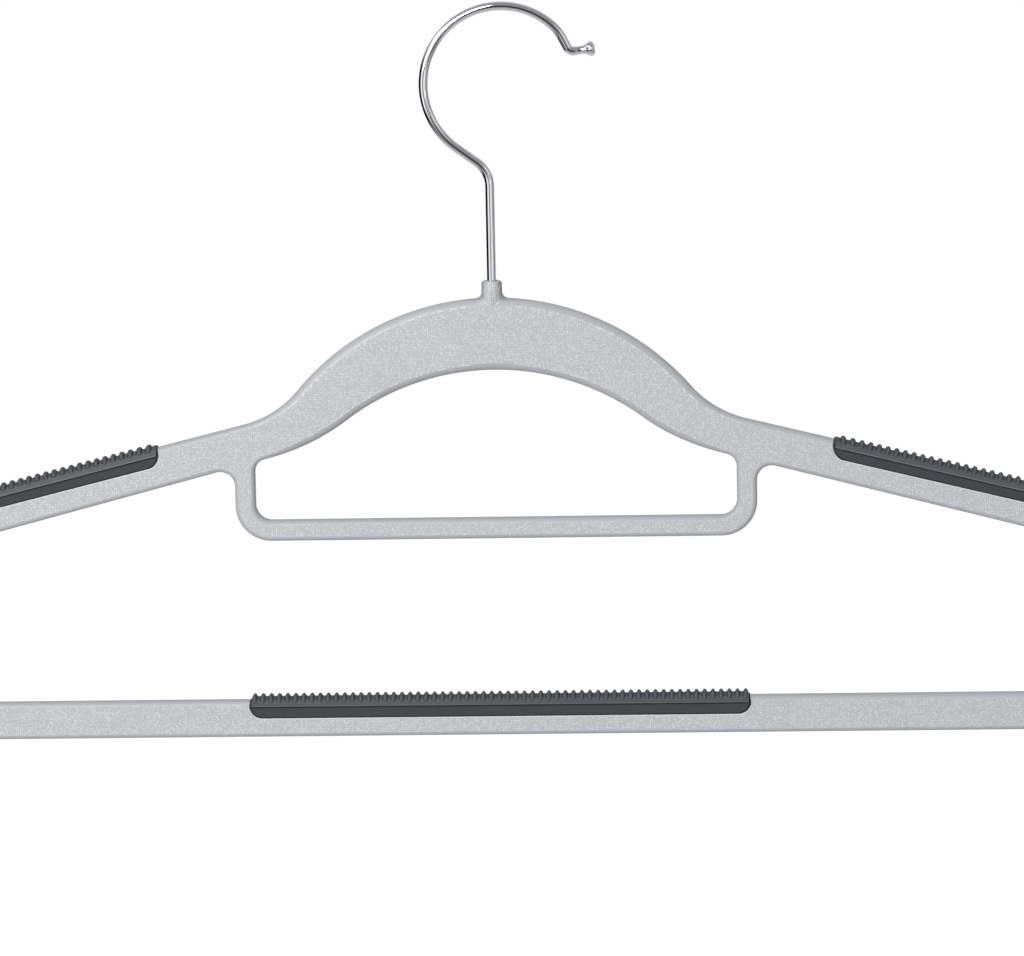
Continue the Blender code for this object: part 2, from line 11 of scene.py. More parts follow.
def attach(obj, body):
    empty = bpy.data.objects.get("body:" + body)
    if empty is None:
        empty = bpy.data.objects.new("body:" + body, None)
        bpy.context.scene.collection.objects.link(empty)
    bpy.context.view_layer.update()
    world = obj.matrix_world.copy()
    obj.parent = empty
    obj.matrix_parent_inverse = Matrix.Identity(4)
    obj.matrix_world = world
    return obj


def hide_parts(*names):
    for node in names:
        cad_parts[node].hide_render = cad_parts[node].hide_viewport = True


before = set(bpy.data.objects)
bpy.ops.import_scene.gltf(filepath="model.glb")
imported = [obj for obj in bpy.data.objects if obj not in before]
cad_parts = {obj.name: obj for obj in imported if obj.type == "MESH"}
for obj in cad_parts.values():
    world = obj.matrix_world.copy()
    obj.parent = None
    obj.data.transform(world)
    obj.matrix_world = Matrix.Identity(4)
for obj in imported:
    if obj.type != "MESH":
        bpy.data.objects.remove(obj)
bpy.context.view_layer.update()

MM = 0.001
FRONT = Vector((0.0, -1.0, 0.0))
UP = Vector((0.0, 0.0, 1.0))
QUARTER_TURN = math.radians(90.0)
FULL_TURN = math.radians(360.0)

# Wire of the hook
WIRE_RADIUS = 1.45 * MM
LOOP_INNER_RADIUS = 23.65 * MM
LEG_SLOPE = math.radians(36.0)
STEM_BEND_RADIUS = 9.6 * MM
NOSE_START = math.radians(42.0)
NOSE_END = math.radians(63.0)
NOSE_RADIUS = 14.0 * MM
NOSE_STRAIGHT = 3.5 * MM
TIP_BEND_RADIUS = 2.2 * MM
TIP_RISE = math.radians(7.0)
STEM_X = -4.3 * MM
STEM_HEAD_RADIUS = 2.2 * MM
STEM_HEAD_TOP = -91.8 * MM
STEM_HEAD_BOTTOM = -93.4 * MM
STEM_HEAD_TAPER = 0.3 * MM
WIRE_SEGMENTS = 40

# Flared tip of the wire: length and end radius of each step, in millimetres
TIP_STEPS = (
    (0.9, 1.36),
    (1.4, 1.3),
    (0.7, 1.36),
    (0.6, 1.55),
    (0.6, 1.9),
    (0.5, 2.2),
    (0.35, 2.38),
    (0.35, 2.42),
    (0.4, 2.35),
    (0.35, 2.15),
    (0.25, 1.85),
    (0.15, 1.5),
    (0.08, 1.0),
)

# Collar
COLLAR_TOP = -86.9 * MM
COLLAR_RADIUS = 3.42 * MM
COLLAR_TOP_RADIUS = 3.3 * MM
COLLAR_RIM = 1.0 * MM
COLLAR_END = -93.5 * MM
COLLAR_TAPER_END = -96.3 * MM
COLLAR_TAPER_RADIUS = 2.0 * MM
COLLAR_FILLET = 2.2 * MM
BORE_RADIUS = 1.75 * MM
POCKET_RADIUS = 2.5 * MM
POCKET_TOP = -91.5 * MM
POCKET_BOTTOM = -93.7 * MM
WEB_HALF_WIDTH = 3.3 * MM
WEB_TOP = -88.4 * MM

# Moulding, seen from the front; an edge of the arm is its height at the axis and its slope
HALF_THICKNESS = 2.75 * MM
HALF_WIDTH = 210.0 * MM
HUMP_TOP = -92.5 * MM
HUMP_TOP_RADIUS = 84.0 * MM
HUMP_TOP_BLEND = 34.0 * MM
HUMP_UNDERSIDE = -116.0 * MM
HUMP_UNDERSIDE_RADIUS = 80.4 * MM
HUMP_UNDERSIDE_BLEND = 70.0 * MM
ARM_TOP = (-112.9 * MM, math.radians(13.85))
ARM_UNDERSIDE = (-124.7 * MM, math.radians(14.6))
END_INNER = 197.6 * MM
SHOULDER_RADIUS = 31.4 * MM
SHOULDER_INNER_RADIUS = 19.0 * MM
LOWER_RADIUS = 34.4 * MM
LOWER_INNER_RADIUS = 22.0 * MM
BAR_TOP = -223.85 * MM
BAR_BOTTOM = -235.95 * MM
CENTRE_BAR_TOP = -164.35 * MM
CENTRE_BAR_BOTTOM = -171.05 * MM
CENTRE_LOOP_HALF_WIDTH = 84.85 * MM
CENTRE_INNER_HALF_WIDTH = 78.3 * MM
CENTRE_INNER_RADIUS = 5.2 * MM
CENTRE_OUTER_RADIUS = 11.6 * MM
CENTRE_SHOULDER_RADIUS = 4.2 * MM
CENTRE_ROOT_RADIUS = 4.8 * MM

# Rounding of its rim: full round over the hump, smaller along the arms and bars
HUMP_ROUNDING = 2.6 * MM
WEB_ROUNDING = 1.7 * MM
WEB_ROUNDING_RISE = 2.0 * MM
EDGE_ROUNDING = 1.5 * MM
ROUNDING_CHANGE = (60.0 * MM, 78.0 * MM)
RIM_ROWS = 10
FACE_LIP = 0.25 * MM

# Section of the rubber grips, with heights measured from the edge that they sit on
CROWN_HEIGHT = 0.65 * MM
CROWN_FALL = 0.04 * MM
CROWN_EDGE = Vector((1.6, 0.0, 0.4)) * MM
CROWN_EDGE_RADIUS = 1.1 * MM
GRIP_SHOULDER = Vector((2.55, 0.0, -0.3)) * MM
GRIP_SHOULDER_RADIUS = 1.2 * MM
GRIP_CREASE = Vector((3.35, 0.0, -2.3)) * MM
GRIP_UNDERCUT = Vector((3.2, 0.0, -2.43)) * MM
CREASE_RADIUS = 0.05 * MM
GRIP_BOTTOM = Vector((2.8, 0.0, -5.8)) * MM
GRIP_BOTTOM_RADIUS = 0.25 * MM
SLOT_HALF_WIDTH = 1.55 * MM
SLOT_TOP = -0.9 * MM
SLOT_FOOT_RADIUS = 0.15 * MM
UPPER_ROWS = (0.12, 0.24, 0.36, 0.46, 0.55, 0.62, 0.8)
LOWER_ROWS = (0.3, 0.55, 0.75, 0.86)
WALL_MARGIN = 0.5 * MM
CROWN_LEAN = 1.5 * MM

# Recesses of the grips in the moulding
CORE_HALF_WIDTH = 1.25 * MM
CORE_TOP = -1.2 * MM
GRIP_GAP = 0.06 * MM
RECESS_BEVEL = 0.34 * MM
RECESS_REACH = 6.0 * MM
CUTTER_OVERLAP = 4.0 * MM
CUTTER_PROUD = 0.02 * MM

# Ends of the grips; an end drop is its height, its reach and how far it stops short
GRIP_END_ROUNDING = 0.45 * MM
SHOULDER_GRIP_CORNER = 3.3 * MM
BAR_GRIP_CORNER = 3.95 * MM
SHOULDER_END_DROP = (1.05 * MM, 0.95 * MM, 0.0)
BAR_END_DROP = (1.25 * MM, 0.45 * MM, 0.45 * MM)
UPRIGHT_PIVOT = -2.0 * MM
UPRIGHT_REACH = 9.0 * MM

# Ribs of the grips
RIB_HEIGHT = 0.95 * MM
RIB_SIDE_HEIGHT = 0.42 * MM
RIB_FOOT_START = -0.1 * MM
RIB_TAPER = 0.45
# Painted shade at the foot of each rib's flank and in the valleys between ribs
RIB_SHADE_WIDTH = 0.45 * MM
RIB_SHADE_ON_RIB = 0.4
RIB_SHADE_IN_VALLEY = 0.15
PLATEAU_HEIGHT = 0.2 * MM
PLATEAU_START = 0.8
SHOULDER_GRIP_START = 110.2 * MM
SHOULDER_RIBS = 25
SHOULDER_RIB_PITCH = 2.875 * MM
SHOULDER_RIB_MARGIN = 3.1 * MM
SHOULDER_RIB_HALF_WIDTH = 0.86 * MM
SHOULDER_RIB_POINT = 0.52
SHOULDER_RIB_FOOT = -0.8 * MM
BAR_GRIP_RAISE = 0.45 * MM
BAR_RIBS = 61
BAR_RIB_PITCH = 2.676 * MM
BAR_RIB_MARGIN = 1.5 * MM
BAR_RIB_HALF_WIDTH = 0.82 * MM
BAR_RIB_POINT = 0.85
BAR_RIB_FOOT = -1.15 * MM

# Sections of a grip: half of those across a rib, in half widths, and those of its ends
RIB_STATIONS = (0.12, 0.3, 0.46, 0.62, 0.78, 0.92, 1.0)
VALLEY_STATION = 0.3
PLATEAU_STATIONS = (1.2, 1.4, 1.6, 1.8)
END_STATIONS = 12
STATION_GAP = 0.02 * MM

# Fineness of the meshes
CHORD_ERROR = 0.004 * MM
FEWEST_BEND_STEPS = 3
TURN_STEPS = 64
SHARP_EDGE = math.radians(35.0)
WELD = 0.0005 * MM


def smooth(share):
    share = min(1.0, max(0.0, share))
    return share * share * (3 - 2 * share)


def at(x, z):
    return Vector((x, 0.0, z))


def only(kind, parts):
    """The vertices, edges or faces among the parts that an operator made."""
    return [part for part in parts if isinstance(part, kind)]


def fill(form, edges):
    bmesh.ops.triangle_fill(form, use_beauty=True, use_dissolve=False, edges=list(edges))


def mirror(form, axis):
    """Complete a shape that is drawn on one side of an axis."""
    geometry = form.verts[:] + form.edges[:] + form.faces[:]
    bmesh.ops.mirror(form, geom=geometry, matrix=Matrix.Identity(4), merge_dist=WELD, axis=axis)


def bend_steps(radius, angle):
    step = 2 * math.acos(1 - CHORD_ERROR / radius)
    return max(FEWEST_BEND_STEPS, math.ceil(abs(angle) / step))


class Line:
    """A line in the plane of the hanger, drawn as straight runs and spun bends."""

    def __init__(self, form, start):
        self.form = form
        self.end = form.verts.new(start)

    def run_to(self, place):
        vertex = self.form.verts.new(place)
        self.form.edges.new((self.end, vertex))
        self.end = vertex

    def bend(self, centre, angle):
        """Go round a centre by an angle, anticlockwise as seen from the front."""
        steps = bend_steps((self.end.co - centre).length, angle)
        made = bmesh.ops.spin(
            self.form, geom=[self.end], cent=centre, axis=FRONT, angle=angle, steps=steps
        )
        self.end = only(BMVert, made["geom_last"])[0]

    def corner(self, corner, after, radius):
        """Run towards a corner and round it, to go on towards the next place."""
        back = (self.end.co - corner).normalized()
        ahead = (after - corner).normalized()
        half = back.angle(ahead) / 2
        self.run_to(corner + back * radius / math.tan(half))
        centre = corner + (back + ahead).normalized() * radius / math.sin(half)
        self.bend(centre, math.copysign(math.pi - 2 * half, back.cross(ahead).y))


def edge_point(edge, x):
    """The place at x on an edge of the arm."""
    height, slope = edge
    return at(x, height - x * math.tan(slope))


def draw_hump(line, centre, radius, blend, arm_edge):
    """Follow the hump's arc from where the line stands, then blend into an edge of the arm."""
    height, slope = arm_edge
    up = at(math.sin(slope), math.cos(slope))
    along = at(math.cos(slope), -math.sin(slope))
    rise = (at(0.0, height) - centre).dot(up)
    reach = math.sqrt((radius + blend) ** 2 - (rise + blend) ** 2)
    blend_centre = centre + up * (rise + blend) + along * reach
    meet = (blend_centre - centre).angle(UP)
    line.bend(centre, (line.end.co - centre).angle(UP) - meet)
    line.bend(blend_centre, meet - slope)


def draw_outer_edge(form):
    hump_centre = at(0.0, HUMP_TOP - HUMP_TOP_RADIUS)
    fillet_x = WEB_HALF_WIDTH + COLLAR_FILLET
    fillet_rise = math.sqrt((HUMP_TOP_RADIUS + COLLAR_FILLET) ** 2 - fillet_x**2)
    fillet_centre = hump_centre + at(fillet_x, fillet_rise)
    line = Line(form, at(0.0, WEB_TOP))
    line.run_to(at(WEB_HALF_WIDTH, WEB_TOP))
    line.run_to(at(WEB_HALF_WIDTH, fillet_centre.z))
    line.bend(fillet_centre, QUARTER_TURN - (fillet_centre - hump_centre).angle(UP))
    draw_hump(line, hump_centre, HUMP_TOP_RADIUS, HUMP_TOP_BLEND, ARM_TOP)
    shoulder = edge_point(ARM_TOP, HALF_WIDTH)
    lower = at(HALF_WIDTH, BAR_BOTTOM)
    line.corner(shoulder, lower, SHOULDER_RADIUS)
    line.corner(lower, at(0.0, BAR_BOTTOM), LOWER_RADIUS)
    line.run_to(at(0.0, BAR_BOTTOM))


def draw_large_opening(form):
    loop_corner = at(CENTRE_LOOP_HALF_WIDTH, CENTRE_BAR_BOTTOM)
    root = edge_point(ARM_UNDERSIDE, CENTRE_LOOP_HALF_WIDTH)
    shoulder = edge_point(ARM_UNDERSIDE, END_INNER)
    lower = at(END_INNER, BAR_TOP)
    line = Line(form, at(0.0, CENTRE_BAR_BOTTOM))
    line.corner(loop_corner, root, CENTRE_OUTER_RADIUS)
    line.corner(root, shoulder, CENTRE_ROOT_RADIUS)
    line.corner(shoulder, lower, SHOULDER_INNER_RADIUS)
    line.corner(lower, at(0.0, BAR_TOP), LOWER_INNER_RADIUS)
    line.run_to(at(0.0, BAR_TOP))


def draw_centre_opening(form):
    centre = at(0.0, HUMP_UNDERSIDE - HUMP_UNDERSIDE_RADIUS)
    top_corner = edge_point(ARM_UNDERSIDE, CENTRE_INNER_HALF_WIDTH)
    bar_corner = at(CENTRE_INNER_HALF_WIDTH, CENTRE_BAR_TOP)
    line = Line(form, at(0.0, HUMP_UNDERSIDE))
    draw_hump(line, centre, HUMP_UNDERSIDE_RADIUS, HUMP_UNDERSIDE_BLEND, ARM_UNDERSIDE)
    line.corner(top_corner, bar_corner, CENTRE_SHOULDER_RADIUS)
    line.corner(bar_corner, at(0.0, CENTRE_BAR_TOP), CENTRE_INNER_RADIUS)
    line.run_to(at(0.0, CENTRE_BAR_TOP))


def rounding_at(place):
    """Radius of the moulding's rim at a place on its outline."""
    if place.z < CENTRE_BAR_TOP + CENTRE_INNER_RADIUS:
        return EDGE_ROUNDING
    if place.z > HUMP_TOP:
        share = smooth((place.z - HUMP_TOP) / WEB_ROUNDING_RISE)
        return HUMP_ROUNDING + (WEB_ROUNDING - HUMP_ROUNDING) * share
    start, end = ROUNDING_CHANGE
    share = smooth((abs(place.x) - start) / (end - start))
    return HUMP_ROUNDING + (EDGE_ROUNDING - HUMP_ROUNDING) * share


def step_into(vertex):
    """The step that moves both rim edges at a vertex into the face by one unit."""
    steps = []
    for edge in vertex.link_edges:
        if edge.is_boundary:
            way = (edge.verts[1].co - edge.verts[0].co).normalized()
            inside = edge.link_faces[0].calc_center_median() - edge.verts[0].co
            steps.append((inside - way * inside.dot(way)).normalized())
    return (steps[0] + steps[1]) / (1 + steps[0].dot(steps[1]))


def next_row(form, rim, columns):
    """Draw a rim out by one row, and say which column each of its vertices is in."""
    made = bmesh.ops.extrude_edge_only(form, edges=rim)["geom"]
    row = {}
    for vertex in only(BMVert, made):
        others = [edge.other_vert(vertex) for edge in vertex.link_edges]
        row[vertex] = next(columns[other] for other in others if other in columns)
    edges = [edge for edge in only(BMEdge, made) if all(vertex in row for vertex in edge.verts)]
    return edges, row


def mould_rim(form):
    """Fill the outlines, then round their rim from the front face over to the back face."""
    fill(form, form.edges)
    rim = [edge for edge in form.edges if edge.is_boundary]
    columns = {}
    for vertex in form.verts:
        if vertex.is_boundary:
            place = vertex.co.copy()
            columns[vertex] = (place, step_into(vertex), rounding_at(place))
    turns = [QUARTER_TURN * i / RIM_ROWS for i in range(RIM_ROWS + 1)]
    rows = [(-1, turn, 0.0) for turn in reversed(turns)] + [(1, turn, 0.0) for turn in turns]
    rows = [(-1, turns[-1], FACE_LIP)] + rows + [(1, turns[-1], FACE_LIP)]
    for number, (side, turn, lip) in enumerate(rows):
        if number:
            rim, columns = next_row(form, rim, columns)
        for vertex, (place, step, rounding) in columns.items():
            inset = rounding * (1 - math.cos(turn)) + lip
            depth = HALF_THICKNESS - rounding * (1 - math.sin(turn))
            vertex.co = place + step * inset - FRONT * side * depth
    fill(form, rim)
    bmesh.ops.recalc_face_normals(form, faces=form.faces)


def make_object(name, form):
    """Keep a finished form as an object that sits at the origin."""
    mesh = bpy.data.meshes.new(name)
    form.to_mesh(mesh)
    form.free()
    made = bpy.data.objects.new(name, mesh)
    bpy.context.scene.collection.objects.link(made)
    return made


def turned_object(name, form):
    """Turn a drawn half section round the axis of the stem."""
    bmesh.ops.spin(
        form,
        geom=form.verts[:] + form.edges[:],
        cent=(0.0, 0.0, 0.0),
        axis=UP,
        angle=FULL_TURN,
        steps=TURN_STEPS,
        use_merge=True,
    )
    bmesh.ops.remove_doubles(form, verts=form.verts, dist=WELD)
    bmesh.ops.recalc_face_normals(form, faces=form.faces)
    bmesh.ops.translate(form, vec=at(STEM_X, 0.0), verts=form.verts)
    return make_object(name, form)


def work_solid(solid, steps):
    """Add or cut away other solids, which are used up."""
    for operation, tool in steps:
        modifier = solid.modifiers.new(tool.name, "BOOLEAN")
        modifier.operation = operation
        modifier.object = tool
        modifier.solver = "EXACT"
    worked = bpy.data.meshes.new_from_object(
        solid.evaluated_get(bpy.context.evaluated_depsgraph_get())
    )
    solid.modifiers.clear()
    solid.data = worked
    for _, tool in steps:
        bpy.data.objects.remove(tool)
    return solid


def collar_blank():
    form = bmesh.new()
    line = Line(form, at(0.0, COLLAR_TOP))
    line.corner(at(COLLAR_TOP_RADIUS, COLLAR_TOP), at(COLLAR_RADIUS, COLLAR_END), COLLAR_RIM)
    line.run_to(at(COLLAR_RADIUS, COLLAR_END))
    line.run_to(at(COLLAR_TAPER_RADIUS, COLLAR_TAPER_END))
    line.run_to(at(0.0, COLLAR_TAPER_END))
    return turned_object("collar_blank", form)


def bore_drill():
    """What the stem's bore and the pocket of its head take away."""
    form = bmesh.new()
    above = COLLAR_TOP + COLLAR_RIM
    line = Line(form, at(0.0, above))
    line.run_to(at(BORE_RADIUS, above))
    line.run_to(at(BORE_RADIUS, POCKET_TOP))
    line.run_to(at(POCKET_RADIUS, POCKET_TOP))
    line.run_to(at(POCKET_RADIUS, POCKET_BOTTOM))
    line.run_to(at(0.0, POCKET_BOTTOM))
    return turned_object("bore_drill", form)


class Grip:
    """A rubber grip's length, ribs and seat; side is -1 or 1 for the arms and 0 for the bar."""

    def __init__(self, side):
        self.side = side
        if side:
            self.ribs, self.pitch = SHOULDER_RIBS, SHOULDER_RIB_PITCH
            self.margin, self.rib_half_width = SHOULDER_RIB_MARGIN, SHOULDER_RIB_HALF_WIDTH
            self.rib_foot, self.rib_point = SHOULDER_RIB_FOOT, SHOULDER_RIB_POINT
            self.corner, self.end_drop, self.raised = SHOULDER_GRIP_CORNER, SHOULDER_END_DROP, 0.0
        else:
            self.ribs, self.pitch = BAR_RIBS, BAR_RIB_PITCH
            self.margin, self.rib_half_width = BAR_RIB_MARGIN, BAR_RIB_HALF_WIDTH
            self.rib_foot, self.rib_point = BAR_RIB_FOOT, BAR_RIB_POINT
            self.corner, self.end_drop, self.raised = BAR_GRIP_CORNER, BAR_END_DROP, BAR_GRIP_RAISE
        self.crease = GRIP_CREASE.z + self.raised
        self.length = (self.ribs - 1) * self.pitch + 2 * self.margin
        self.seat = self.find_seat()

    def find_seat(self):
        """What moves the grip from the origin to its place on the moulding."""
        if not self.side:
            return Matrix.Translation((STEM_X, 0.0, BAR_TOP))
        slope = ARM_TOP[1]
        middle = edge_point(ARM_TOP, SHOULDER_GRIP_START)
        middle += at(math.cos(slope), -math.sin(slope)) * self.length / 2
        place = Matrix.Translation((STEM_X + self.side * middle.x, 0.0, middle.z))
        return place @ Matrix.Rotation(self.side * slope, 4, "Y")

    def rib_centre(self, number):
        return (number - (self.ribs - 1) / 2) * self.pitch

    def nearest_rib(self, x):
        number = min(self.ribs - 1, max(0, round(x / self.pitch + (self.ribs - 1) / 2)))
        return self.rib_centre(number)

    def lift_at(self, x, width):
        """How far a place along the grip stands up its rib, from 0 between ribs to 1 on top."""
        away = abs(x - self.nearest_rib(x)) / (self.rib_half_width * width)
        lift = (1 - away * away) ** self.rib_point if away < 1 else 0.0
        past_ribs = abs(x) - self.rib_centre(self.ribs - 1)
        if self.side and past_ribs > 0:
            rise = smooth(past_ribs / self.rib_half_width - PLATEAU_START)
            lift = max(lift, rise * PLATEAU_HEIGHT / RIB_HEIGHT)
        return lift

    def rib_shade_at(self, x, width):
        """Share of painted shade along the grip: 1 in the crease at the foot of a rib's flank,
        fading into the rib and the valley.
        """
        outside = abs(x - self.nearest_rib(x)) - self.rib_half_width * width
        if outside < 0:
            return smooth(1 + outside / (RIB_SHADE_ON_RIB * self.rib_half_width))
        return max(RIB_SHADE_IN_VALLEY, 1 - outside / RIB_SHADE_WIDTH)

    def stations(self):
        """Places along the grip where its section is set: across each rib and round each end."""
        valley = self.pitch / self.rib_half_width - 2
        across = RIB_STATIONS + (1 + valley * VALLEY_STATION,)
        places = [
            self.rib_centre(number) + side * share * self.rib_half_width
            for number in range(self.ribs)
            for share in across
            for side in (-1, 1)
        ]
        half = self.length / 2
        turns = [QUARTER_TURN * i / END_STATIONS for i in range(END_STATIONS + 1)]
        corner = [half - self.corner * (1 - math.sin(turn)) for turn in turns]
        rounding = [half - GRIP_END_ROUNDING * (1 - math.sin(turn)) for turn in turns[1:-1:2]]
        last_rib = half - self.margin
        plateau = [last_rib + self.rib_half_width * share for share in PLATEAU_STATIONS]
        ends = [side * place for place in corner + rounding + plateau for side in (-1, 1)]
        kept = [-half]
        for place in sorted(places + ends):
            if place - kept[-1] > STATION_GAP and half - place > STATION_GAP:
                kept.append(place)
        return kept + [half]

    def upright_end(self, place):
        """Lean the inner end of a shoulder grip upright, though the grip lies along the arm."""
        from_end = self.length / 2 + self.side * place.x
        share = 1 - smooth(from_end / UPRIGHT_REACH)
        return place.x - self.side * share * (place.z - UPRIGHT_PIVOT) * math.tan(ARM_TOP[1])

    def from_edge(self, place):
        """How far a place on the grip's side is from its outline below: bottom, ends, corners."""
        along = abs(place.x) - (self.length / 2 - self.corner)
        down = GRIP_BOTTOM.z + self.corner - place.z
        if along > 0 and down > 0:
            return self.corner - math.hypot(along, down)
        return self.corner - max(along, down)


def core_block(grip, bottom):
    """The thin core of the moulding that stays in the middle of a recess."""
    form = bmesh.new()
    bmesh.ops.create_cube(form, size=1.0)
    size = Vector((2 * grip.length, 2 * CORE_HALF_WIDTH, CORE_TOP - bottom))
    bmesh.ops.scale(form, vec=size, verts=form.verts)
    bmesh.ops.translate(form, vec=at(0.0, (CORE_TOP + bottom) / 2), verts=form.verts)
    return make_object("core", form)


def recess_cutter(name, grip):
    """What a grip's recess takes away: the grip with its gap and bevels, all but the core."""
    spread = GRIP_GAP + RECESS_BEVEL
    half = grip.length / 2 + spread
    bottom = GRIP_BOTTOM.z - spread
    form = bmesh.new()
    line = Line(form, at(0.0, CUTTER_OVERLAP))
    line.run_to(at(half, CUTTER_OVERLAP))
    line.run_to(at(half, 0.0))
    line.corner(at(half, bottom), at(0.0, bottom), grip.corner + spread)
    line.run_to(at(0.0, bottom))
    mirror(form, "X")
    if grip.side:
        for vertex in form.verts:
            vertex.co.x = grip.upright_end(vertex.co)
    fill(form, form.edges)
    bmesh.ops.translate(form, vec=FRONT * RECESS_REACH, verts=form.verts)
    cap = only(BMFace, bmesh.ops.extrude_face_region(form, geom=form.faces[:])["geom"])
    for vertex in {vertex for face in cap for vertex in face.verts}:
        vertex.co.y = -HALF_THICKNESS - CUTTER_PROUD
    bmesh.ops.recalc_face_normals(form, faces=form.faces)
    bmesh.ops.inset_region(
        form,
        faces=cap,
        thickness=RECESS_BEVEL,
        depth=RECESS_BEVEL,
        use_boundary=True,
        use_even_offset=True,
    )
    bmesh.ops.delete(form, geom=cap, context="FACES")
    rim = [edge for edge in form.edges if edge.is_boundary]
    for vertex in only(BMVert, bmesh.ops.extrude_edge_only(form, edges=rim)["geom"]):
        vertex.co.y = 0.0
    mirror(form, "Y")
    bmesh.ops.recalc_face_normals(form, faces=form.faces)
    core = core_block(grip, bottom - CUTTER_OVERLAP)
    cutter = work_solid(make_object(f"{name}_recess", form), [("DIFFERENCE", core)])
    cutter.data.transform(grip.seat)
    return cutter


def make_moulding(grips):
    form = bmesh.new()
    draw_outer_edge(form)
    draw_large_opening(form)
    draw_centre_opening(form)
    mirror(form, "X")
    mould_rim(form)
    bmesh.ops.translate(form, vec=at(STEM_X, 0.0), verts=form.verts)
    steps = [("DIFFERENCE", recess_cutter(name, grip)) for name, grip in grips.items()]
    steps += [("UNION", collar_blank()), ("DIFFERENCE", bore_drill())]
    return work_solid(make_object("grey_moulding", form), steps)


def draw_grip_section(form, grip):
    """Half of the grip's section: over the crown, down the side and up the slot."""
    raised = UP * grip.raised
    crown_edge = CROWN_EDGE + raised
    shoulder = GRIP_SHOULDER + raised
    crease = GRIP_CREASE + raised
    undercut = GRIP_UNDERCUT + raised
    slot_foot = at(SLOT_HALF_WIDTH, GRIP_BOTTOM.z)
    slot_top = at(SLOT_HALF_WIDTH, SLOT_TOP)
    line = Line(form, at(0.0, CROWN_HEIGHT) + raised)
    line.run_to(at(CROWN_EDGE.x / 2, CROWN_HEIGHT - CROWN_FALL) + raised)
    line.corner(crown_edge, shoulder, CROWN_EDGE_RADIUS)
    line.corner(shoulder, crease, GRIP_SHOULDER_RADIUS)
    foot_start = line.end.co.copy()
    for share in UPPER_ROWS:
        line.run_to(foot_start.lerp(crease, share))
    line.corner(crease, undercut, CREASE_RADIUS)
    line.corner(undercut, GRIP_BOTTOM, CREASE_RADIUS)
    side_start = line.end.co.copy()
    for share in LOWER_ROWS:
        line.run_to(side_start.lerp(GRIP_BOTTOM, share))
    line.corner(GRIP_BOTTOM, slot_foot, GRIP_BOTTOM_RADIUS)
    line.corner(slot_foot, slot_top, SLOT_FOOT_RADIUS)
    line.run_to(slot_top)
    line.run_to(at(0.0, SLOT_TOP))


def past(x, length, radius):
    """How far round a corner of that radius a place near the grip's end is, from 0 to 1."""
    into = abs(x) - (length / 2 - radius)
    return 1 - math.sqrt(max(0.0, 1 - (into / radius) ** 2)) if into > 0 else 0.0


def section_columns(form):
    """Place and outward way of each vertex of the grip's section, and whether it is outside."""
    columns = {}
    for vertex in form.verts:
        place = vertex.co.copy()
        ways = [(edge.other_vert(vertex).co - place).normalized() for edge in vertex.link_edges]
        along = ways[0] - ways[1]
        out = Vector((0.0, -along.z, along.y)).normalized()
        lean = CROWN_LEAN if place.z > GRIP_SHOULDER.z else 0.0
        if out.dot(Vector((0.0, place.y, lean))) < 0:
            out.negate()
        outside = abs(place.y) > SLOT_HALF_WIDTH + WALL_MARGIN or place.z > SLOT_TOP / 2
        columns[vertex] = (place, out, outside)
    return columns


def crown_share(z, grip):
    """How far up the grip's rounded top a height of the section is, from 0 to 1."""
    return smooth((z - grip.raised - GRIP_SHOULDER.z) / (CROWN_EDGE.z - GRIP_SHOULDER.z))


def rib_height_at(z, grip):
    """How far a rib stands out at a height of the section: full on top, rounded at its foot."""
    height = RIB_SIDE_HEIGHT + (RIB_HEIGHT - RIB_SIDE_HEIGHT) * crown_share(z, grip)
    start = RIB_FOOT_START + grip.raised
    down = min(1.0, max(0.0, (start - z) / (RIB_FOOT_START - grip.rib_foot)))
    return height * math.sqrt(1 - down * down)


def rib_width_at(z, grip):
    """How wide a rib is at a height of the section, as a share of its width on the crown."""
    top = CROWN_EDGE.z + grip.raised
    return 1 - RIB_TAPER * smooth((top - z) / (top - grip.rib_foot))


def place_on_grip(column, x, grip):
    """Where a vertex of the section goes at x along the grip."""
    place, out, outside = column
    low = max(0.0, (place.z - grip.crease) / (GRIP_BOTTOM.z - grip.crease))
    climb = low * grip.corner * past(x, grip.length, grip.corner)
    moved = Vector((x, place.y, place.z + climb))
    if outside:
        slant = (GRIP_CREASE.x - GRIP_BOTTOM.x) / (grip.crease - GRIP_BOTTOM.z)
        moved.y += math.copysign(climb * slant, place.y)
        moved += out * rib_height_at(place.z, grip) * grip.lift_at(x, rib_width_at(place.z, grip))
        moved -= out * GRIP_END_ROUNDING * past(x, grip.length, GRIP_END_ROUNDING)
        drop, reach, short = grip.end_drop
        moved.z -= drop * crown_share(place.z, grip) * past(x, grip.length - 2 * short, reach)
    return moved


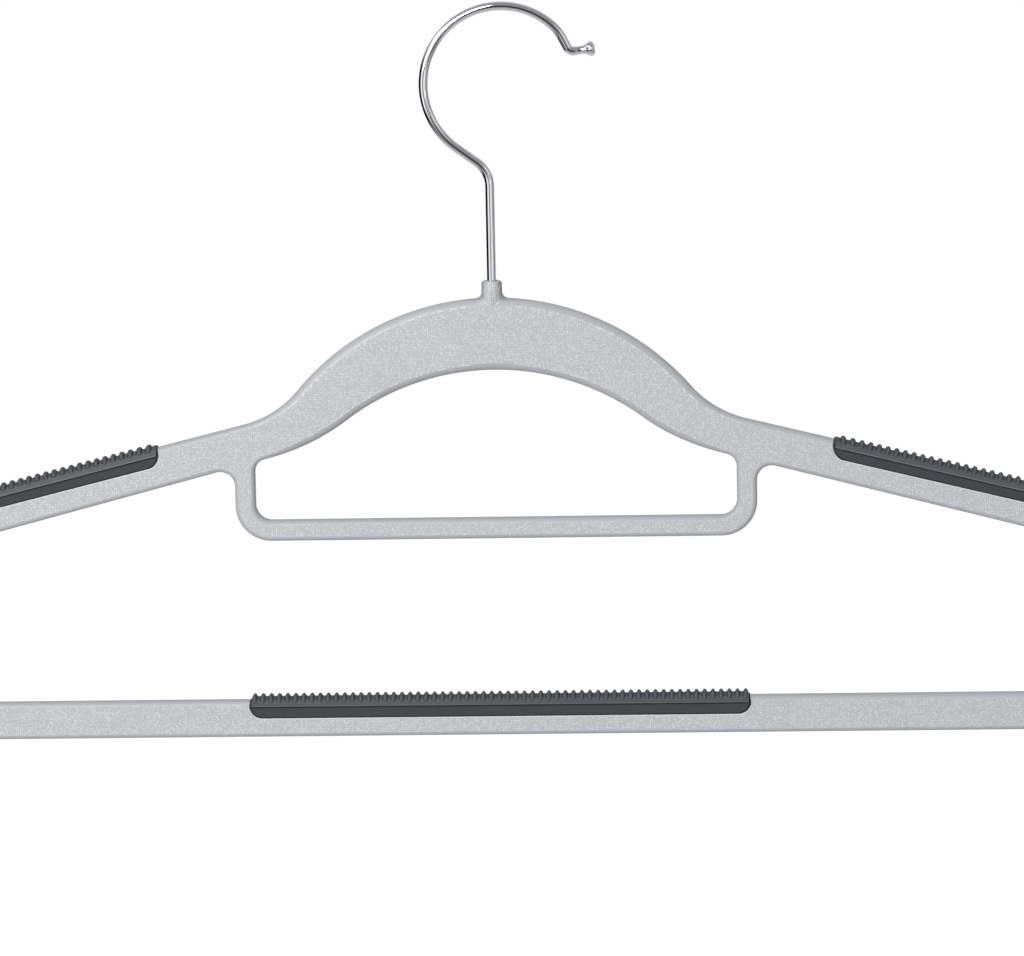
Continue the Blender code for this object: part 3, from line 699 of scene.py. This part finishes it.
def make_grip(name, grip):
    """Draw the section along the grip, with the numbers that its look reads stored on it."""
    form = bmesh.new()
    draw_grip_section(form, grip)
    mirror(form, "X")
    across = Matrix.Rotation(QUARTER_TURN, 3, "Z")
    bmesh.ops.rotate(form, cent=(0.0, 0.0, 0.0), matrix=across, verts=form.verts)
    stored = ("above_crease", "from_edge", "from_end", "rib_shade")
    layers = [form.verts.layers.float.new(kind) for kind in stored]
    columns = section_columns(form)
    rim = form.edges[:]
    for number, x in enumerate(grip.stations()):
        if number:
            rim, columns = next_row(form, rim, columns)
        from_end = grip.length / 2 - abs(x)
        if from_end < WELD:
            for vertex, (place, _, _) in columns.items():
                vertex.co = (x, place.y, place.z)
            fill(form, rim)
        for vertex, column in columns.items():
            z = column[0].z
            vertex.co = place_on_grip(column, x, grip)
            above_crease = z - grip.crease
            from_edge = grip.from_edge(vertex.co)
            # how much painted shade falls here beside the ribs
            rib_shade = smooth(rib_height_at(z, grip) / RIB_SIDE_HEIGHT)
            rib_shade *= grip.rib_shade_at(x, rib_width_at(z, grip))
            numbers = (above_crease / MM, from_edge / MM, from_end / MM, rib_shade)
            for layer, value in zip(layers, numbers):
                vertex[layer] = value
            if grip.side:
                vertex.co.x = grip.upright_end(vertex.co)
    bmesh.ops.recalc_face_normals(form, faces=form.faces)
    if form.calc_volume(signed=True) < 0:
        bmesh.ops.reverse_faces(form, faces=form.faces)
    bmesh.ops.transform(form, matrix=grip.seat, verts=form.verts)
    return make_object(name, form)


class Wire:
    """A round wire that is drawn on from its end, ring by ring."""

    def __init__(self, form, start, radius):
        self.form = form
        self.centre = start
        self.along = UP.copy()
        self.radius = radius
        ring = bmesh.ops.create_circle(form, segments=WIRE_SEGMENTS, radius=radius)["verts"]
        bmesh.ops.translate(form, vec=start, verts=ring)
        self.ring = ring + form.edges[:]
        fill(form, form.edges)

    def go(self, length, radius=None):
        """Draw the wire straight on, to another radius if one is given."""
        made = bmesh.ops.extrude_edge_only(self.form, edges=only(BMEdge, self.ring))["geom"]
        verts = only(BMVert, made)
        step = self.along * length
        bmesh.ops.translate(self.form, vec=step, verts=verts)
        self.centre = self.centre + step
        if radius is not None:
            share = radius / self.radius
            space = Matrix.Translation(-self.centre)
            bmesh.ops.scale(self.form, vec=(share, share, share), space=space, verts=verts)
            self.radius = radius
        inside = set(verts)
        self.ring = verts + [edge for edge in only(BMEdge, made) if inside.issuperset(edge.verts)]

    def bend(self, radius, angle):
        """Bend the wire by an angle, anticlockwise as seen from the front."""
        inwards = FRONT.cross(self.along) * math.copysign(1.0, angle)
        pivot = self.centre + inwards * radius
        made = bmesh.ops.spin(
            self.form,
            geom=self.ring,
            cent=pivot,
            axis=FRONT,
            angle=angle,
            steps=bend_steps(radius, angle),
        )
        self.ring = made["geom_last"]
        turn = Matrix.Rotation(angle, 3, FRONT)
        self.centre = pivot + turn @ (self.centre - pivot)
        self.along = turn @ self.along

    def close(self):
        fill(self.form, only(BMEdge, self.ring))


def make_hook():
    """The wire, from its head in the collar up the stem and round the loop to its flared tip."""
    loop_radius = LOOP_INNER_RADIUS + WIRE_RADIUS
    loop_centre = at(0.0, -LOOP_INNER_RADIUS)
    stem_turn = QUARTER_TURN - LEG_SLOPE
    loop_end = 3 * QUARTER_TURN - LEG_SLOPE
    leg_top = loop_centre + at(math.cos(loop_end), math.sin(loop_end)) * loop_radius
    bend_x = STEM_X - STEM_BEND_RADIUS * (1 - math.cos(stem_turn))
    leg_length = (bend_x - leg_top.x) / math.cos(LEG_SLOPE)
    bend_z = leg_top.z - (bend_x - leg_top.x) * math.tan(LEG_SLOPE)
    stem_top = bend_z - STEM_BEND_RADIUS * math.sin(stem_turn)

    form = bmesh.new()
    wire = Wire(form, at(STEM_X, STEM_HEAD_BOTTOM), STEM_HEAD_RADIUS)
    wire.go(STEM_HEAD_TOP - STEM_HEAD_BOTTOM)
    wire.go(STEM_HEAD_TAPER, WIRE_RADIUS)
    wire.go(stem_top - wire.centre.z)
    wire.bend(STEM_BEND_RADIUS, stem_turn)
    wire.go(leg_length)
    wire.bend(loop_radius, -(loop_end - QUARTER_TURN + NOSE_START))
    wire.bend(NOSE_RADIUS, NOSE_START - NOSE_END)
    wire.go(NOSE_STRAIGHT)
    wire.bend(TIP_BEND_RADIUS, NOSE_END + TIP_RISE)
    for length, radius in TIP_STEPS:
        wire.go(length * MM, radius * MM)
    wire.close()
    bmesh.ops.recalc_face_normals(form, faces=form.faces)
    return make_object("hook_wire", form)


class Value:
    """A number in a material, which adds a Math node for each sum that it is used in."""

    def __init__(self, look, socket):
        self.look = look
        self.socket = socket

    def maths(self, operation, first, second=0.0):
        return self.look.node("ShaderNodeMath", {"operation": operation}, {0: first, 1: second})

    def __add__(self, other):
        return self.maths("ADD", self, other)

    def __radd__(self, other):
        return self.maths("ADD", other, self)

    def __sub__(self, other):
        return self.maths("SUBTRACT", self, other)

    def __rsub__(self, other):
        return self.maths("SUBTRACT", other, self)

    def __mul__(self, other):
        return self.maths("MULTIPLY", self, other)

    def __rmul__(self, other):
        return self.maths("MULTIPLY", other, self)

    def __abs__(self):
        return self.maths("ABSOLUTE", self)


class Look:
    """A material, or the studio's surround, whose nodes are added one by one."""

    def __init__(self, name, world=None):
        self.material = world or bpy.data.materials.new(name)
        self.material.use_nodes = True
        self.tree = self.material.node_tree
        self.shader = self.tree.nodes["Background" if world else "Principled BSDF"]

    def node(self, kind, settings, inputs, output=0):
        made = self.tree.nodes.new(kind)
        for name, value in settings.items():
            setattr(made, name, value)
        for name, value in inputs.items():
            self.join(made.inputs[name], value)
        return Value(self, made.outputs[output])

    def join(self, socket, value):
        if isinstance(value, Value):
            self.tree.links.new(value.socket, socket)
        else:
            socket.default_value = value

    def set(self, **values):
        for name, value in values.items():
            self.join(self.shader.inputs[name.replace("_", " ").title()], value)

    def place(self, part=None):
        """Where on the object a point is, or one of its coordinates."""
        spot = self.node("ShaderNodeTexCoord", {}, {}, "Object")
        if part is None:
            return spot
        return self.node("ShaderNodeSeparateXYZ", {}, {"Vector": spot}, part)

    def stored(self, name):
        """A number stored at the points of the mesh."""
        return self.node("ShaderNodeAttribute", {"attribute_name": name}, {}, "Fac")

    def between(self, value, low, high):
        """0 below low, 1 above high and a smooth change between them."""
        settings = {"interpolation_type": "SMOOTHSTEP"}
        inputs = {"Value": value, "From Min": low, "From Max": high}
        return self.node("ShaderNodeMapRange", settings, inputs, "Result")

    def band(self, value, start, end, soft):
        """1 between start and end, with soft edges."""
        rise = self.between(value, start - soft, start + soft)
        return rise * (1 - self.between(value, end - soft, end + soft))

    def larger(self, first, second):
        return self.node("ShaderNodeMath", {"operation": "MAXIMUM"}, {0: first, 1: second})

    def mix(self, share, first, second):
        """A colour that goes from first to second; the node's colours are its sockets 6 and 7."""
        settings = {"data_type": "RGBA"}
        inputs = {"Factor": share, 6: first, 7: second}
        return self.node("ShaderNodeMix", settings, inputs, 2)

    def noise(self, scale, detail=2.0, roughness=0.5):
        inputs = {"Vector": self.place(), "Scale": scale, "Detail": detail, "Roughness": roughness}
        return self.node("ShaderNodeTexNoise", {}, inputs, "Fac")

    def bump(self, height, depth):
        inputs = {"Height": height, "Distance": depth, "Strength": 1.0}
        return self.node("ShaderNodeBump", {}, inputs, "Normal")


# Finishes. A place or edge in brackets is where a smooth change starts and ends, or the start, end
# and softness of a band. A noise is its scale, detail and roughness, and paired greys are its two.
COOL = (0.978, 0.989, 1.033)
COOLER = (0.93, 0.98, 1.1)

# Stipple of the grey plastic, on its flat faces: real bumps, with their pips painted lighter as a
# painted glint
FACE_START = (HALF_THICKNESS - 0.03 * MM, HALF_THICKNESS - 0.004 * MM)
STIPPLE_SCALE = 1500.0
STIPPLE_RANDOMNESS = 0.35
STIPPLE_DEPTH = 0.045 * MM
PIP_EDGE = (0.14, 0.58)
PATCH_SCALE = 300.0
PATCH_EDGE = (0.35, 0.65)
PATCH_SHARE = 0.3
CLOUD_NOISE = (60.0, 3.0)
PLASTIC_GREYS = (0.465, 0.505)
STIPPLE_GLINT_GREY = 0.76
FACE_ROUGHNESS = 0.55
RIM_ROUGHNESS = 0.43

# Broken painted highlight along the seam between the hump's faces and its rounded rim, where the
# moulding glints
SEAM_GLINT_DEPTH = (HALF_THICKNESS - 0.05 * MM, HALF_THICKNESS - 0.008 * MM, 0.006 * MM)
SEAM_GLINT_START = (6.0 * MM, 8.0 * MM)
SEAM_GLINT_END = (62.0 * MM, 96.0 * MM)
SEAM_GLINT_LOWEST = (CENTRE_BAR_TOP + 6.0 * MM, CENTRE_BAR_TOP + 9.0 * MM)
SEAM_GLINT_SCALE = 2100.0
SEAM_GLINT_BREAK = (0.48, 0.56)
SEAM_GLINT_SHARE = 0.7
SEAM_GLINT_GREY = 0.85

# Two painted highlights at the collar's root, glints in its crease, which slope inwards and down
COLLAR_GLINT_PLACE = Vector((2.3 * MM, 0.0, COLLAR_END - 0.15 * MM))
COLLAR_GLINT_SLOPE = 0.75
COLLAR_GLINT_WIDTH = (0.1 * MM, 0.24 * MM)
COLLAR_GLINT_REACH = (1.1 * MM, 2.25 * MM, 0.1 * MM)
COLLAR_GLINT_DEPTH = (HALF_THICKNESS - 0.3 * MM, HALF_THICKNESS - 0.1 * MM)
COLLAR_GLINT_SHARE = 0.8
COLLAR_GLINT_GREY = 0.88

# Rims of the moulding, with a painted highlight on the bevels of the recesses and painted shade
# beside the collar
RIM_GREY = 0.46
BEVEL_HIGHLIGHT_GREY = 0.85
BEVEL_DEPTH = (3.0 * MM, 6.8 * MM, 0.2 * MM)
ARM_BEVELS = (108.0 * MM, 184.6 * MM, 0.2 * MM)
BAR_BEVELS_END = (84.0 * MM, 85.0 * MM)
# Painted shade on the collar's sides
COLLAR_SIDE = (1.9 * MM, 2.8 * MM)
COLLAR_SIDE_RISE = (COLLAR_END, COLLAR_END + 1.0 * MM)
COLLAR_SIDE_SHADE_GREY = 0.34

# Dark rubber, with painted highlight and painted shade on it, placed by millimetres above the
# crease, from the outline and from the end
MOTTLE_NOISE = (500.0, 4.0, 0.6)
GRAIN_SCALE = 4000.0
GRAIN_DEPTH = 0.006 * MM
# The upper band is lighter partly by the rubber's own colour and partly by painted light, as it
# faces up
LOWER_GREYS = (0.048, 0.057)
UPPER_GREYS = (0.08, 0.095)
UPPER_START = (-0.12, -0.04)
# Painted highlight along the crease, weaker on the bar
CREASE_HIGHLIGHT_BAND = (0.0, 0.32, 0.05)
CREASE_HIGHLIGHT_SHARE = 0.75
CREASE_HIGHLIGHT_SHARE_LOST_ON_BAR = 0.45
CREASE_HIGHLIGHT_GREY = 0.17
# Painted shade beside the ribs
RIB_SHADE_SHARE = 0.64
RIB_SHADE_GREY = 0.016
# Painted shade on the bar grip's upper band, darkest near its crease
ABOVE_BAR_GRIP = (BAR_TOP + 4.0 * MM, BAR_TOP + 6.0 * MM)
BAR_GRIP_SHADE = (0.2, 1.8)
BAR_GRIP_SHADE_SHARE = 0.24
# Painted shadow under the crease
CREASE_SHADOW_BAND = (-0.5, -0.12, 0.06)
CREASE_SHADOW_SHARE = 0.85
# Painted shade along the grip's bottom and ends, where its gap in the recess falls into shadow,
# wider at the ends
NEAR_END = (2.4, 4.4)
OUTLINE_SHADE_TOP = (1.9, 2.5)
OUTLINE_SHADE_WIDTH = 0.25
OUTLINE_SHADE_WIDTH_AT_END = 0.21
OUTLINE_SHADE_SOFTNESS = 0.16
OUTLINE_SHADE_SHARE = 0.9
OUTLINE_SHADE_SHARE_AT_END = 0.08
# Grey of the painted shadow under the crease and the painted shade along the outline
SHADE_LINE_GREY = 0.006
RUBBER_SPECULAR = 0.3
RUBBER_ROUGHNESS = 0.5
RUBBER_ROUGHNESS_CHANGE = 0.12

# Chrome
DRAW_MARK_NOISE = (700.0, 3.0, 0.6)
DRAW_MARK_DEPTH = 0.004 * MM
CHROME_GREYS = (0.82, 0.9)
CHROME_ROUGHNESS = 0.03
CHROME_ROUGHNESS_CHANGE = 0.04


def grey(level, tint=(1.0, 1.0, 1.0)):
    return (level * tint[0], level * tint[1], level * tint[2], 1.0)


def plastic_stipple(look, face):
    """Fine pips on the flat faces, with fewer of them in some patches."""
    cells = look.node(
        "ShaderNodeTexVoronoi",
        {"feature": "F1"},
        {"Vector": look.place(), "Scale": STIPPLE_SCALE, "Randomness": STIPPLE_RANDOMNESS},
        "Distance",
    )
    pips = 1 - look.between(cells, *PIP_EDGE)
    patches = look.between(look.noise(PATCH_SCALE), *PATCH_EDGE)
    return pips * (1 - PATCH_SHARE + PATCH_SHARE * patches) * face


def plastic_seam_glint(look, depth, across, up):
    """The painted highlight round the hump's faces, where they meet the rounded rim, broken up by
    a fine noise.
    """
    on_hump = 1 - look.between(across, *SEAM_GLINT_END)
    on_hump = on_hump * look.between(up, *SEAM_GLINT_LOWEST) * look.between(across, *SEAM_GLINT_START)
    broken = look.between(look.noise(SEAM_GLINT_SCALE), *SEAM_GLINT_BREAK)
    return look.band(depth, *SEAM_GLINT_DEPTH) * broken * on_hump


def collar_root_glints(look, depth, across, up):
    """The two painted highlights at the collar's root, on the front and on the back."""
    away = abs(up - COLLAR_GLINT_PLACE.z + COLLAR_GLINT_SLOPE * (COLLAR_GLINT_PLACE.x - across))
    marks = (1 - look.between(away, *COLLAR_GLINT_WIDTH)) * look.band(across, *COLLAR_GLINT_REACH)
    return marks * look.between(depth, *COLLAR_GLINT_DEPTH)


def rim_colour(look, across, up):
    """Colour of all that isn't a flat face, with a painted highlight on the recess bevels and
    painted shade beside the collar.
    """
    height, slope = ARM_TOP
    under_arm = ((height - math.tan(slope) * across) - up) * math.cos(slope)
    on_arm = look.band(under_arm, *BEVEL_DEPTH) * look.band(across, *ARM_BEVELS)
    on_bar = look.band(BAR_TOP - up, *BEVEL_DEPTH) * (1 - look.between(across, *BAR_BEVELS_END))
    collar_side_shade = look.between(across, *COLLAR_SIDE) * look.between(up, *COLLAR_SIDE_RISE)
    # painted highlight on the bevels round the grips' recesses
    colour = look.mix(on_arm + on_bar, grey(RIM_GREY, COOL), grey(BEVEL_HIGHLIGHT_GREY, COOL))
    # painted shade on the collar's sides, which turn away from the light
    return look.mix(collar_side_shade, colour, grey(COLLAR_SIDE_SHADE_GREY, COOL))


def plastic_look():
    """Grey plastic: a fine stipple on its flat faces and smooth rims, with painted highlights at
    the edge between them, at the collar's root and on the recess bevels, and painted shade beside
    the collar.
    """
    look = Look("stippled_grey_plastic")
    depth = abs(look.place("Y"))
    across = abs(look.place("X") - STEM_X)
    up = look.place("Z")
    face = look.between(depth, *FACE_START)
    stipple = plastic_stipple(look, face)
    seam_glint = plastic_seam_glint(look, depth, across, up)
    # marks: the painted glints at the collar's root
    marks = collar_root_glints(look, depth, across, up)
    base = look.mix(look.noise(*CLOUD_NOISE), *(grey(level, COOL) for level in PLASTIC_GREYS))
    # the pips are painted lighter: a painted glint on the stipple's real bumps
    base = look.mix(stipple, base, grey(STIPPLE_GLINT_GREY, COOL))
    base = look.mix(face, rim_colour(look, across, up), base)
    # painted highlight along the seam between the faces and the rim
    base = look.mix(seam_glint * SEAM_GLINT_SHARE, base, grey(SEAM_GLINT_GREY, COOL))
    # painted highlight: the glints at the collar's root
    base = look.mix(marks * COLLAR_GLINT_SHARE, base, grey(COLLAR_GLINT_GREY, COOL))
    look.set(
        base_color=base,
        roughness=RIM_ROUGHNESS + (FACE_ROUGHNESS - RIM_ROUGHNESS) * face,
        normal=look.bump(stipple, STIPPLE_DEPTH),
    )
    return look.material


def rubber_look():
    """Dark soft rubber with a faint mottle; its upper band is lighter partly by its own colour and
    partly by painted light, with a painted highlight along the crease and painted shade between
    the ribs, under the crease, along its outlines and at its corners.
    """
    look = Look("dark_ribbed_rubber")
    above_crease = look.stored("above_crease")
    mottle = look.noise(*MOTTLE_NOISE)
    grain = look.noise(GRAIN_SCALE)
    on_bar = 1 - look.between(look.place("Z"), *ABOVE_BAR_GRIP)

    # upper band lighter than the lower: partly the rubber's own colour, partly painted light on
    # the band that faces up
    lower = look.mix(mottle, *(grey(level, COOLER) for level in LOWER_GREYS))
    upper = look.mix(mottle, *(grey(level, COOLER) for level in UPPER_GREYS))
    # painted shade beside the ribs, where the valleys fall into shadow
    upper = look.mix(look.stored("rib_shade") * RIB_SHADE_SHARE, upper, grey(RIB_SHADE_GREY, COOLER))
    # painted shade on the bar grip's upper band near its crease
    bar_crease_shade = on_bar * (1 - look.between(above_crease, *BAR_GRIP_SHADE))
    upper = look.mix(bar_crease_shade * BAR_GRIP_SHADE_SHARE, upper, grey(0.0))
    base = look.mix(look.between(above_crease, *UPPER_START), lower, upper)
    # lip: a painted highlight along the crease
    lip = look.band(above_crease, *CREASE_HIGHLIGHT_BAND) * (CREASE_HIGHLIGHT_SHARE - CREASE_HIGHLIGHT_SHARE_LOST_ON_BAR * on_bar)
    base = look.mix(lip, base, grey(CREASE_HIGHLIGHT_GREY, COOLER))

    # outline: painted shade along the bottom and ends, where the gap in the recess falls into
    # shadow
    near_end = 1 - look.between(look.stored("from_end"), *NEAR_END)
    width = OUTLINE_SHADE_WIDTH + OUTLINE_SHADE_WIDTH_AT_END * near_end
    outline = 1 - look.between(look.stored("from_edge"), width, width + OUTLINE_SHADE_SOFTNESS)
    outline = outline * (OUTLINE_SHADE_SHARE + OUTLINE_SHADE_SHARE_AT_END * near_end)
    outline = outline * (1 - look.between(above_crease, *OUTLINE_SHADE_TOP))
    # crease: a painted shadow under the crease's lip
    crease = look.band(above_crease, *CREASE_SHADOW_BAND) * CREASE_SHADOW_SHARE
    base = look.mix(look.larger(crease, outline), base, grey(SHADE_LINE_GREY, COOLER))
    look.shader.inputs["Specular IOR Level"].default_value = RUBBER_SPECULAR
    look.set(
        base_color=base,
        roughness=RUBBER_ROUGHNESS + RUBBER_ROUGHNESS_CHANGE * grain,
        normal=look.bump(grain, GRAIN_DEPTH),
    )
    return look.material


def chrome_look():
    """Bright plating with the faint draw marks of the wire."""
    look = Look("bright_chrome_wire")
    marks = look.noise(*DRAW_MARK_NOISE)
    look.set(
        base_color=look.mix(marks, *(grey(level, COOL) for level in CHROME_GREYS)),
        metallic=1.0,
        roughness=CHROME_ROUGHNESS + CHROME_ROUGHNESS_CHANGE * marks,
        normal=look.bump(marks, DRAW_MARK_DEPTH),
    )
    return look.material


def dress(piece, look, body, node):
    """Give a piece its look, and say what it rides on, stands for and is made of."""
    piece.data.materials.clear()
    piece.data.materials.append(look)
    piece.data.shade_smooth()
    piece.data.set_sharp_from_angle(angle=SHARP_EDGE)
    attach(piece, body)
    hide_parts(node)


def make_hanger():
    grips = {
        "left_shoulder_grip": Grip(-1),
        "right_shoulder_grip": Grip(1),
        "trouser_bar_grip": Grip(0),
    }
    dress(make_moulding(grips), plastic_look(), "frame", "hanger_frame")
    rubber = rubber_look()
    for name, grip in grips.items():
        dress(make_grip(f"{name}_rubber", grip), rubber, "frame", name)
    dress(make_hook(), chrome_look(), "hook", "hook")


# Camera, in the photograph's place
CAMERA_DISTANCE = 1.7
CAMERA_TARGET = Vector((1.05, 0.0, -151.53)) * MM
CAMERA_YAW = math.radians(-2.893)
CAMERA_PITCH = math.radians(8.278)
CAMERA_ROLL = math.radians(1.122)
CAMERA_REACH = 100.0
PIXELS_PER_MM = 0.99313 * 3.1
FOCAL_PIXELS = PIXELS_PER_MM * CAMERA_DISTANCE / MM
PHOTO_WIDTH = 1024
SENSOR = 36.0

# Floor and light
FLOOR_HEIGHT = -0.75
FLOOR_SIZE = 15.0
FLOOR_GREY = 0.6
FLOOR_ROUGHNESS = 0.9
FLOOR_GLOW = 0.72
SKY_LIGHT = 0.45
LAMP_AIM = Vector((0.0, 0.0, -0.15))

# What the chrome mirrors, as bands of the way that a mirrored ray goes
FRONT_HALF = (0.0, 0.12)
LEFT_BOX = ((-0.88, -0.28, 0.03), (-0.3, 0.62, 0.06))
RIGHT_BOX = ((0.07, 0.72, 0.03), (-0.2, 0.02, 0.04))
BETWEEN_BOXES = ((-0.3, 0.06, 0.03), (-0.3, 0.3, 0.1))
RIGHT_WALL = ((0.66, 0.74), (-0.2, 0.1), (-0.5, 0.5, 0.1))
DARK_SCREEN = ((-2.0, -0.3, 0.02), (-0.45, 0.95, 0.03), (-0.5, 0.2, 0.08))
CEILING = (0.2, 0.4)
GROUND = (-0.7, -0.5)
BEHIND = (0.0, 0.4)
BACKDROP = (0.78, 0.9)
ROOM_LEVEL = 0.15
CEILING_LEVEL = 0.16
GROUND_LEVEL = 0.36
BEHIND_LEVEL = 0.22
BACKDROP_LEVEL = 0.3
LEFT_BOX_LEVEL = 0.85
RIGHT_BOX_LEVEL = 0.8
RIGHT_WALL_LEVEL = 0.3
SCREEN_SHARE = 0.99
BETWEEN_BOXES_SHARE = 0.7


def place_camera():
    data = bpy.data.cameras.new("camera")
    data.sensor_width = SENSOR
    data.sensor_fit = "HORIZONTAL"
    data.lens = FOCAL_PIXELS / PHOTO_WIDTH * SENSOR
    data.clip_end = CAMERA_REACH
    camera = bpy.data.objects.new("camera", data)
    bpy.context.scene.collection.objects.link(camera)
    turn = (
        Matrix.Rotation(-CAMERA_YAW, 4, "Z")
        @ Matrix.Rotation(-CAMERA_PITCH, 4, "X")
        @ Matrix.Rotation(CAMERA_ROLL, 4, "Y")
    )
    place = CAMERA_TARGET - turn @ Vector((0.0, CAMERA_DISTANCE, 0.0))
    upright = Matrix.Rotation(QUARTER_TURN, 4, "X")
    camera.matrix_world = Matrix.Translation(place) @ turn @ upright
    bpy.context.scene.camera = camera


def lay_floor():
    form = bmesh.new()
    bmesh.ops.create_grid(form, x_segments=1, y_segments=1, size=FLOOR_SIZE)
    bmesh.ops.translate(form, vec=at(0.0, FLOOR_HEIGHT), verts=form.verts)
    floor = make_object("studio_floor", form)
    look = Look("white_floor")
    look.set(base_color=grey(FLOOR_GREY), roughness=FLOOR_ROUGHNESS)
    seen = look.node("ShaderNodeLightPath", {}, {}, "Is Camera Ray")
    look.set(emission_color=grey(1.0), emission_strength=FLOOR_GLOW * seen)
    floor.data.materials.append(look.material)
    floor.visible_glossy = False


def mirrored_studio(sky):
    """How bright the studio is that the chrome mirrors: two softboxes, a dark screen and walls."""
    way = sky.node("ShaderNodeTexCoord", {}, {}, "Generated")
    x, y, z = (sky.node("ShaderNodeSeparateXYZ", {}, {"Vector": way}, axis) for axis in "XYZ")

    def box(place):
        """A lit or dark rectangle in front of the hanger."""
        return sky.band(x, *place[0]) * sky.band(z, *place[1]) * (1 - sky.between(y, *FRONT_HALF))

    to_right, to_front, up_wall = RIGHT_WALL
    wall = sky.between(x, *to_right) * (1 - sky.between(y, *to_front)) * sky.band(z, *up_wall)
    across, back, up = (sky.band(part, *place) for part, place in zip((x, y, z), DARK_SCREEN))
    studio = ROOM_LEVEL + CEILING_LEVEL * sky.between(z, *CEILING)
    studio = studio + GROUND_LEVEL * (1 - sky.between(z, *GROUND))
    studio = studio + BEHIND_LEVEL * sky.between(y, *BEHIND)
    studio = studio + BACKDROP_LEVEL * sky.between(y, *BACKDROP)
    studio = studio + LEFT_BOX_LEVEL * box(LEFT_BOX) + RIGHT_BOX_LEVEL * box(RIGHT_BOX)
    studio = studio + RIGHT_WALL_LEVEL * wall
    studio = studio * (1 - SCREEN_SHARE * (across * back * up))
    return studio * (1 - BETWEEN_BOXES_SHARE * box(BETWEEN_BOXES))


def light_sky():
    """A plain white surround, which only the chrome sees as a studio."""
    world = bpy.data.worlds.new("studio")
    bpy.context.scene.world = world
    sky = Look("studio", world)
    seen = sky.node("ShaderNodeLightPath", {}, {}, "Is Camera Ray")
    mirrored = sky.node("ShaderNodeLightPath", {}, {}, "Is Glossy Ray")
    plain = SKY_LIGHT + (1 - SKY_LIGHT) * seen
    strength = plain * (1 - mirrored) + mirrored_studio(sky) * mirrored
    sky.set(color=grey(1.0), strength=strength)


def hang_lamp(name, place, size, watts):
    data = bpy.data.lights.new(name, "AREA")
    data.shape = "RECTANGLE"
    data.size, data.size_y = size
    data.energy = watts
    lamp = bpy.data.objects.new(name, data)
    bpy.context.scene.collection.objects.link(lamp)
    lamp.location = place
    lamp.rotation_euler = (LAMP_AIM - Vector(place)).to_track_quat("-Z", "Y").to_euler()


def set_studio():
    bpy.context.scene.view_settings.view_transform = "Standard"
    place_camera()
    lay_floor()
    light_sky()
    hang_lamp("key_softbox", place=(-0.65, -1.5, 0.45), size=(0.9, 0.9), watts=22.0)
    hang_lamp("fill_softbox", place=(1.6, -1.8, 0.6), size=(1.0, 1.4), watts=2.5)


make_hanger()
set_studio()
